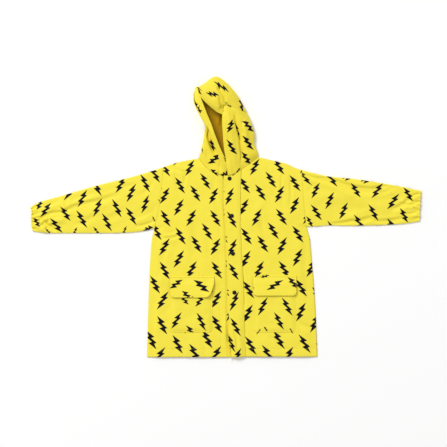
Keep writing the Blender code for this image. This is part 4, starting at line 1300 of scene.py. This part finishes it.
# The height of a neckline is read this far in from it, and is at least this.
NECK_IN = 2
LOWEST_NECK = 2
FACE_HEM = 14
FACE_STITCH = 12
FACE_GROOVE = (1.0, 0.3)
HEM_EDGE_GROOVE = (2.2, 1.4)
HOOD_SEAM_GROOVE = (2.4, 1.1)
NECK_SEAM_GROOVE = (2.4, 0.4)
HOOD_PUCKER = 0.4
SIDE_CRUMPLES = 1.3
STRIP_CRUMPLES = 1.1
CREST_RIB = 4
# The level at which the print of a side starts from its neck edge.
PRINT_FOOT = 130
# At the chin the right side tucks in below the left one: how far, its lift, its reach from the face and
# in rows from the neck, the rows and columns that may lie below, and the room for the cloth there.
CHIN_LAP = 7
CHIN_LIFT = 1.5
CHIN_REACH = 9
CHIN_ROWS = 22
CHIN_COVERED = np.s_[:26, :24]
CHIN_ROOM = 1.7
# At the forehead the strip's corner laps over the right side: how far, its reach from the face, and its
# place and width in shares of the strip's width.
CORNER_LAP = 4
CORNER_REACH = 12
CORNER_PLACE = 0.16
CORNER_WIDE = 0.1
# Painted shade: the hood's cloth is a little deeper than the body's, and its centre strip deeper still, for
# the shading of its slopes.
HOOD_CLOTH_PAINTED_SHADE = {"light": (0.915, 0.77, 0.064, 1), "deep": (0.865, 0.705, 0.049, 1)}
STRIP_CLOTH_PAINTED_SHADE = {"light": (0.865, 0.72, 0.06, 1), "deep": (0.815, 0.655, 0.045, 1)}

# Creases of the hood: width, height (troughs are negative), then the points that they run through. They
# fade out over this share at each end.
CREASE_ENDS = 0.25
HOOD_CREASES = {
    "left": [
        (3.2, -5.2, (24, 284), (24.5, 262), (27, 244), (36, 212), (38, 190), (42, 162), (39, 134)),
        (4.5, 3.0, (18, 280), (19, 258), (22, 240), (31, 208), (33, 188), (37, 162), (34, 136)),
        (3, -1.6, (41, 147), (52, 142), (65, 139)),
        (5, 2.2, (52, 264), (51, 236), (55, 206), (57, 180)),
        (3.6, -2.4, (44, 262), (43, 238), (48, 212)),
        (4, -1.0, (60, 232), (63, 205), (70, 180)),
        (9, -1.0, (12, 262), (9, 226), (14, 190)),
        (4, -0.9, (12, 150), (22, 136), (26, 122)),
    ],
    "right": [
        (4.6, -15, (-53.5, 244), (-46, 216), (-39, 195), (-30, 173), (-18, 152)),
        (3.6, 5, (-56.5, 222), (-53, 210), (-46, 190), (-37, 168), (-26, 148)),
        (3, -2.6, (-64, 222), (-56, 192), (-50, 166), (-44, 150)),
        (3.6, -2.4, (-42, 152), (-28, 138), (-14, 128)),
        (3, -1.2, (-56, 150), (-44, 136), (-30, 128)),
        (3, -1.2, (-78, 318), (-76, 296), (-64, 262)),
    ],
    "centre": [
        (3.5, 3.6, (-31, 348), (-21, 331), (-10, 315), (-6, 300)),
        (3.2, -5.4, (-25, 348), (-14.5, 331), (-4, 315), (0, 303)),
        (3, -5.0, (-18, 320), (-12, 298), (-9, 280)),
        (4, 2.0, (-25, 316), (-20, 298), (-17, 284)),
        (4, -1.2, (-50, 330), (-40, 318), (-28, 314)),
        (5, -1.2, (8, 322), (20, 314), (34, 296)),
    ],
}
INNER_FOLD = (3.5, 4.0, (-17, 292), (-18.5, 268), (-19, 240))
HOOD_BOLTS = {
    "left": [
        (12.6, 239.5, 25, 43), (31.4, 227.2, -19, 50, 22), (15, 183.5, -30, 48), (59.5, 240, -45, 42),
        (59.2, 196.1, -40, 45), (54.2, 155.5, -40, 42), (32.8, 123.2, 43, 20), (9.2, 292, -68, 14),
        (-6, 289, 20, 7), (-5.4, 279, 30, 8),
    ],
    "right": [
        (-74.5, 288.5, -34, 54, 60), (-35.5, 190, -16, 32, 44), (-29.8, 152.4, 56, 44), (-30, 116.3, -48, 28),
        (-65, 190.5, 4, 34, 18), (-2.5, 114, 84, 22, 44), (-1.5, 152, -22, 16),
    ],
    "centre": [
        (-11.4, 343.4, -61, 48, 40), (-34.7, 323.4, -75, 36, 44), (41, 300.5, -18, 44),
        (1.2, 300.5, -60, 9), (-71.5, 337, -12, 34, 60),
    ],
}


def hood_side(table):
    """A hood side's grid: rows from the neck seam up, columns from the face edge round to the strip."""
    last = len(HOOD_COLUMNS) - 1
    side_place = HOOD_COLUMNS.index("side") / last
    sections = np.swapaxes(curve_through(table, np.linspace(0, 1, HOOD_UP + 1)), 0, 1)
    t = np.arange(HOOD_ACROSS + 1)
    below = (t - HOOD_TOP) / (HOOD_ACROSS - HOOD_TOP)
    place = np.where(t <= HOOD_TOP, side_place * t / HOOD_TOP, side_place + (1 - side_place) * below)
    grid = np.swapaxes(curve_through(sections, place), 0, 1)
    grid[..., 2] = HOOD_LAYER + np.maximum(grid[..., 2], 0)
    return grid


def fit_neck(grid, neckline, back_share):
    """Brings the rows near the neck seam onto it: the fronts' neckline above, the back's below."""
    lower = HOOD_ACROSS - HOOD_TOP
    back = curve_through(BACK_NECK, np.linspace(*back_share, lower + 1))
    back = np.column_stack([back, np.full(lower + 1, HOOD_LAYER)])
    back[0, 2] = (HOOD_LAYER + SEAM_LAYER) / 2
    target = np.concatenate([neckline[:HOOD_TOP], back])
    fade = (1 - smooth(np.arange(HOOD_UP + 1) / NECK_ROWS))[:, None, None]
    return grid + (target - grid[0]) * fade


def on_fronts(line, *pieces):
    """A neckline laid on the pieces that it is sewn to."""
    z = top_of(*pieces)(line[:, 0], line[:, 1] - NECK_IN) - CLOTH / 2 + PATCH_GAP
    return np.column_stack([line, np.maximum(z, LOWEST_NECK)])


def outward(grid, turned):
    """The way out of a piece's printed side, at each point."""
    out = face_of(grid, 1.0) - grid
    return -out if turned else out


def creased(creases, x, y):
    """The height that creases add at points, sharper than folds and fading out at both ends."""
    total = np.zeros(np.shape(x))
    for width, height, *points in creases:
        line = curve_through(points, np.linspace(0, 1, 40))
        gap, along = distance_to(line, x, y)
        share = along / lengths_along(line)[-1]
        ends = smooth(share / CREASE_ENDS) * smooth((1 - share) / CREASE_ENDS)
        total += height * np.exp(-((gap / width) ** 1.6)) * ends
    return total


def sewn_edges(grid, edges):
    """The dip of the cloth along its sewn edges, and the small puckers beside them."""
    depth = np.zeros(grid.shape[:2])
    for edge in edges:
        line = {"first": grid[:, :1], "last": grid[:, -1:], "bottom": grid[:1], "top": grid[-1:]}[edge]
        gap = np.linalg.norm(grid - line, axis=-1)
        depth += dip(gap, *(NECK_SEAM_GROOVE if edge == "bottom" else HOOD_SEAM_GROOVE))
        depth += HOOD_PUCKER * uneven(0.35 * gap, grid[..., 0] + grid[..., 1], 8, 91) * bell(gap, 9)
    return depth


def row_stitches(grid, out, reach, distance):
    """A line of stitches at a distance from the first column."""
    rows = np.array([
        [np.interp(distance, r, c) for c in (*(points + CLOTH / 2 * ways).T, *ways.T)]
        for points, ways, r in zip(grid, out, reach)
    ])
    return rows[:, :3], rows[:, 3:]


right_neck = curve_through(RIGHT_NECK[::-1], np.linspace(0, 1, HOOD_TOP + 1))
right_neck = on_fronts(right_neck, right_front)
part = np.linspace(0, NECK_PARTS, HOOD_TOP + 1)
left_neck = np.where(
    (part <= BAND_PARTS)[:, None],
    curve_through(BAND_TOP, 0.2 + 0.2 * np.minimum(part, BAND_PARTS)),
    curve_through(LEFT_NECK[::-1], np.clip((part - BAND_PARTS) / (NECK_PARTS - BAND_PARTS), 0, 1)),
)
left_neck = on_fronts(left_neck, left_front, band)
hood_right = fit_neck(hood_side(HOOD_RIGHT), right_neck, (0, STRIP_BACK[0]))
hood_left = fit_neck(hood_side(HOOD_LEFT), left_neck, (1, STRIP_BACK[1]))

seams = [np.concatenate([side[-1], side[-2::-1, -1]]) for side in (hood_right, hood_left)]
count = len(seams[0])
ribs = curve_through(CROWN_RIBS, np.linspace(0, 1, count))
ribs[..., 2] = HOOD_LAYER + np.maximum(ribs[..., 2], 0)
knots = np.stack([seams[0], ribs[:, 0], ribs[:, 1], ribs[:, 2], seams[1]])
hood_centre = np.swapaxes(curve_through(knots, np.linspace(0, 1, STRIP_ACROSS + 1)), 0, 1)
hood_centre[..., 2] = np.maximum(hood_centre[..., 2], HOOD_LAYER)
back = curve_through(BACK_NECK, np.linspace(*STRIP_BACK, STRIP_ACROSS + 1))
fade = (1 - smooth(np.arange(count)[::-1] / NECK_ROWS))[:, None, None]
hood_centre += (np.column_stack([back, np.full(len(back), HOOD_LAYER)]) - hood_centre[-1]) * fade

for side, grid, cut, area, turned, hem_rise, seed in (
    ("left", hood_left, (0.14, 0.175), 0.0188, False, 0.35, 107),
    ("right", hood_right, (0.075, 0.25), 0.0148, True, 1.6, 101),
):
    out = outward(grid, turned)
    reach = reach_across(grid)
    x, y = grid[..., 0], grid[..., 1]
    on_top = smooth((HOOD_TOP - np.arange(HOOD_ACROSS + 1)) / EDGE_COLUMNS)[None]
    depth = sewn_edges(grid, ("bottom", "top", "last"))
    depth += on_top * (creased(HOOD_CREASES[side], x, y) + SIDE_CRUMPLES * crumple(x, y, seed))
    hem_step = smooth((FACE_HEM + 0.6 - reach) / 1.6) + dip(reach - FACE_HEM - 1.6, *HEM_EDGE_GROOVE)
    depth += hem_rise * hem_step
    depth += dip(reach - FACE_STITCH, *FACE_GROOVE)
    facing = grid + out * depth[..., None]
    facing[..., 2] = np.maximum(facing[..., 2], HOOD_LAYER + 1.6 * on_top * smooth(reach / 4))
    if side == "right":
        tuck = np.exp(-reach / CHIN_REACH) * (1 - smooth(np.arange(HOOD_UP + 1) / CHIN_ROWS))[:, None]
        facing[..., 0] += CHIN_LAP * tuck
        facing[..., 2] += CHIN_LIFT * tuck
        x, y, z = np.moveaxis(facing[CHIN_COVERED], -1, 0)
        cover = top_of(piece)(x, y)
        z[...] = np.where(cover > 0, np.minimum(z, cover - CHIN_ROOM), z)
    around = reach_across(facing)
    from_side = (around - around[:, HOOD_TOP][:, None]) * (-1 if side == "right" else 1)
    climb = reach_across(np.swapaxes(facing, 0, 1)).T
    print_at = np.dstack([facing[:, HOOD_TOP, 0][:, None] + from_side, PRINT_FOOT + climb])
    bolts = charted(facing, print_at, HOOD_BOLTS[side], np.s_[:, : HOOD_TOP + 1])
    # The sides take the deeper colour, which is painted shade.
    look = cloth_look(f"printed_cloth_hood_{side}", bolts, **HOOD_CLOTH_PAINTED_SHADE)
    piece = wrapped_cloth(
        f"hood_{side}_side", facing, print_at, look, np.s_[:, HOOD_TOP:], turned=turned, even=False,
    )
    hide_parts(f"hood_{side}")
    path = row_stitches(facing, outward(facing, turned), reach, FACE_STITCH)
    sewing = sew(f"hood_{side}_stitches", [path])

out = outward(hood_centre, False)
x, y = hood_centre[..., 0], hood_centre[..., 1]
crest = round(CREST_RIB / (len(CROWN_RIBS) - 1) * (count - 1))
on_top = smooth((crest - np.arange(count)) / CREST_ROWS)[:, None]
depth = sewn_edges(hood_centre, ("first", "last", "bottom"))
depth += on_top * (creased(HOOD_CREASES["centre"], x, y) + STRIP_CRUMPLES * crumple(x, y, 113))
face_gap = reach_across(np.swapaxes(hood_centre, 0, 1)).T
depth += 0.35 * smooth((FACE_HEM + 0.6 - face_gap) / 1.2) + dip(face_gap - FACE_STITCH, *FACE_GROOVE)
facing = hood_centre + out * depth[..., None]
facing[..., 2] = np.maximum(facing[..., 2], HOOD_LAYER)
facing[..., 2] += (1 - on_top) * creased([INNER_FOLD], x, y)
share = np.linspace(0, 1, STRIP_ACROSS + 1)
corner = np.exp(-face_gap / CORNER_REACH) * bell(share - CORNER_PLACE, CORNER_WIDE)
facing[..., 0] -= CORNER_LAP * corner
across = reach_across(facing)
climb = reach_across(np.swapaxes(facing, 0, 1)).T
print_at = np.dstack([across - across[:, STRIP_ACROSS // 2][:, None], climb])
bolts = charted(facing, print_at, HOOD_BOLTS["centre"], np.s_[: crest + 1])
# The strip takes the deepest colour, which is painted shade.
look = cloth_look("printed_cloth_hood_centre", bolts, **STRIP_CLOTH_PAINTED_SHADE)
hidden = np.s_[crest + CREST_ROWS // 2 :]
strip = wrapped_cloth("hood_centre_strip", facing, print_at, look, hidden, even=False)
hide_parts("hood_centre")
sideways, out = (np.swapaxes(points, 0, 1) for points in (facing, outward(facing, False)))
sewing = sew("hood_centre_stitches", [row_stitches(sideways, out, face_gap.T, FACE_STITCH)])
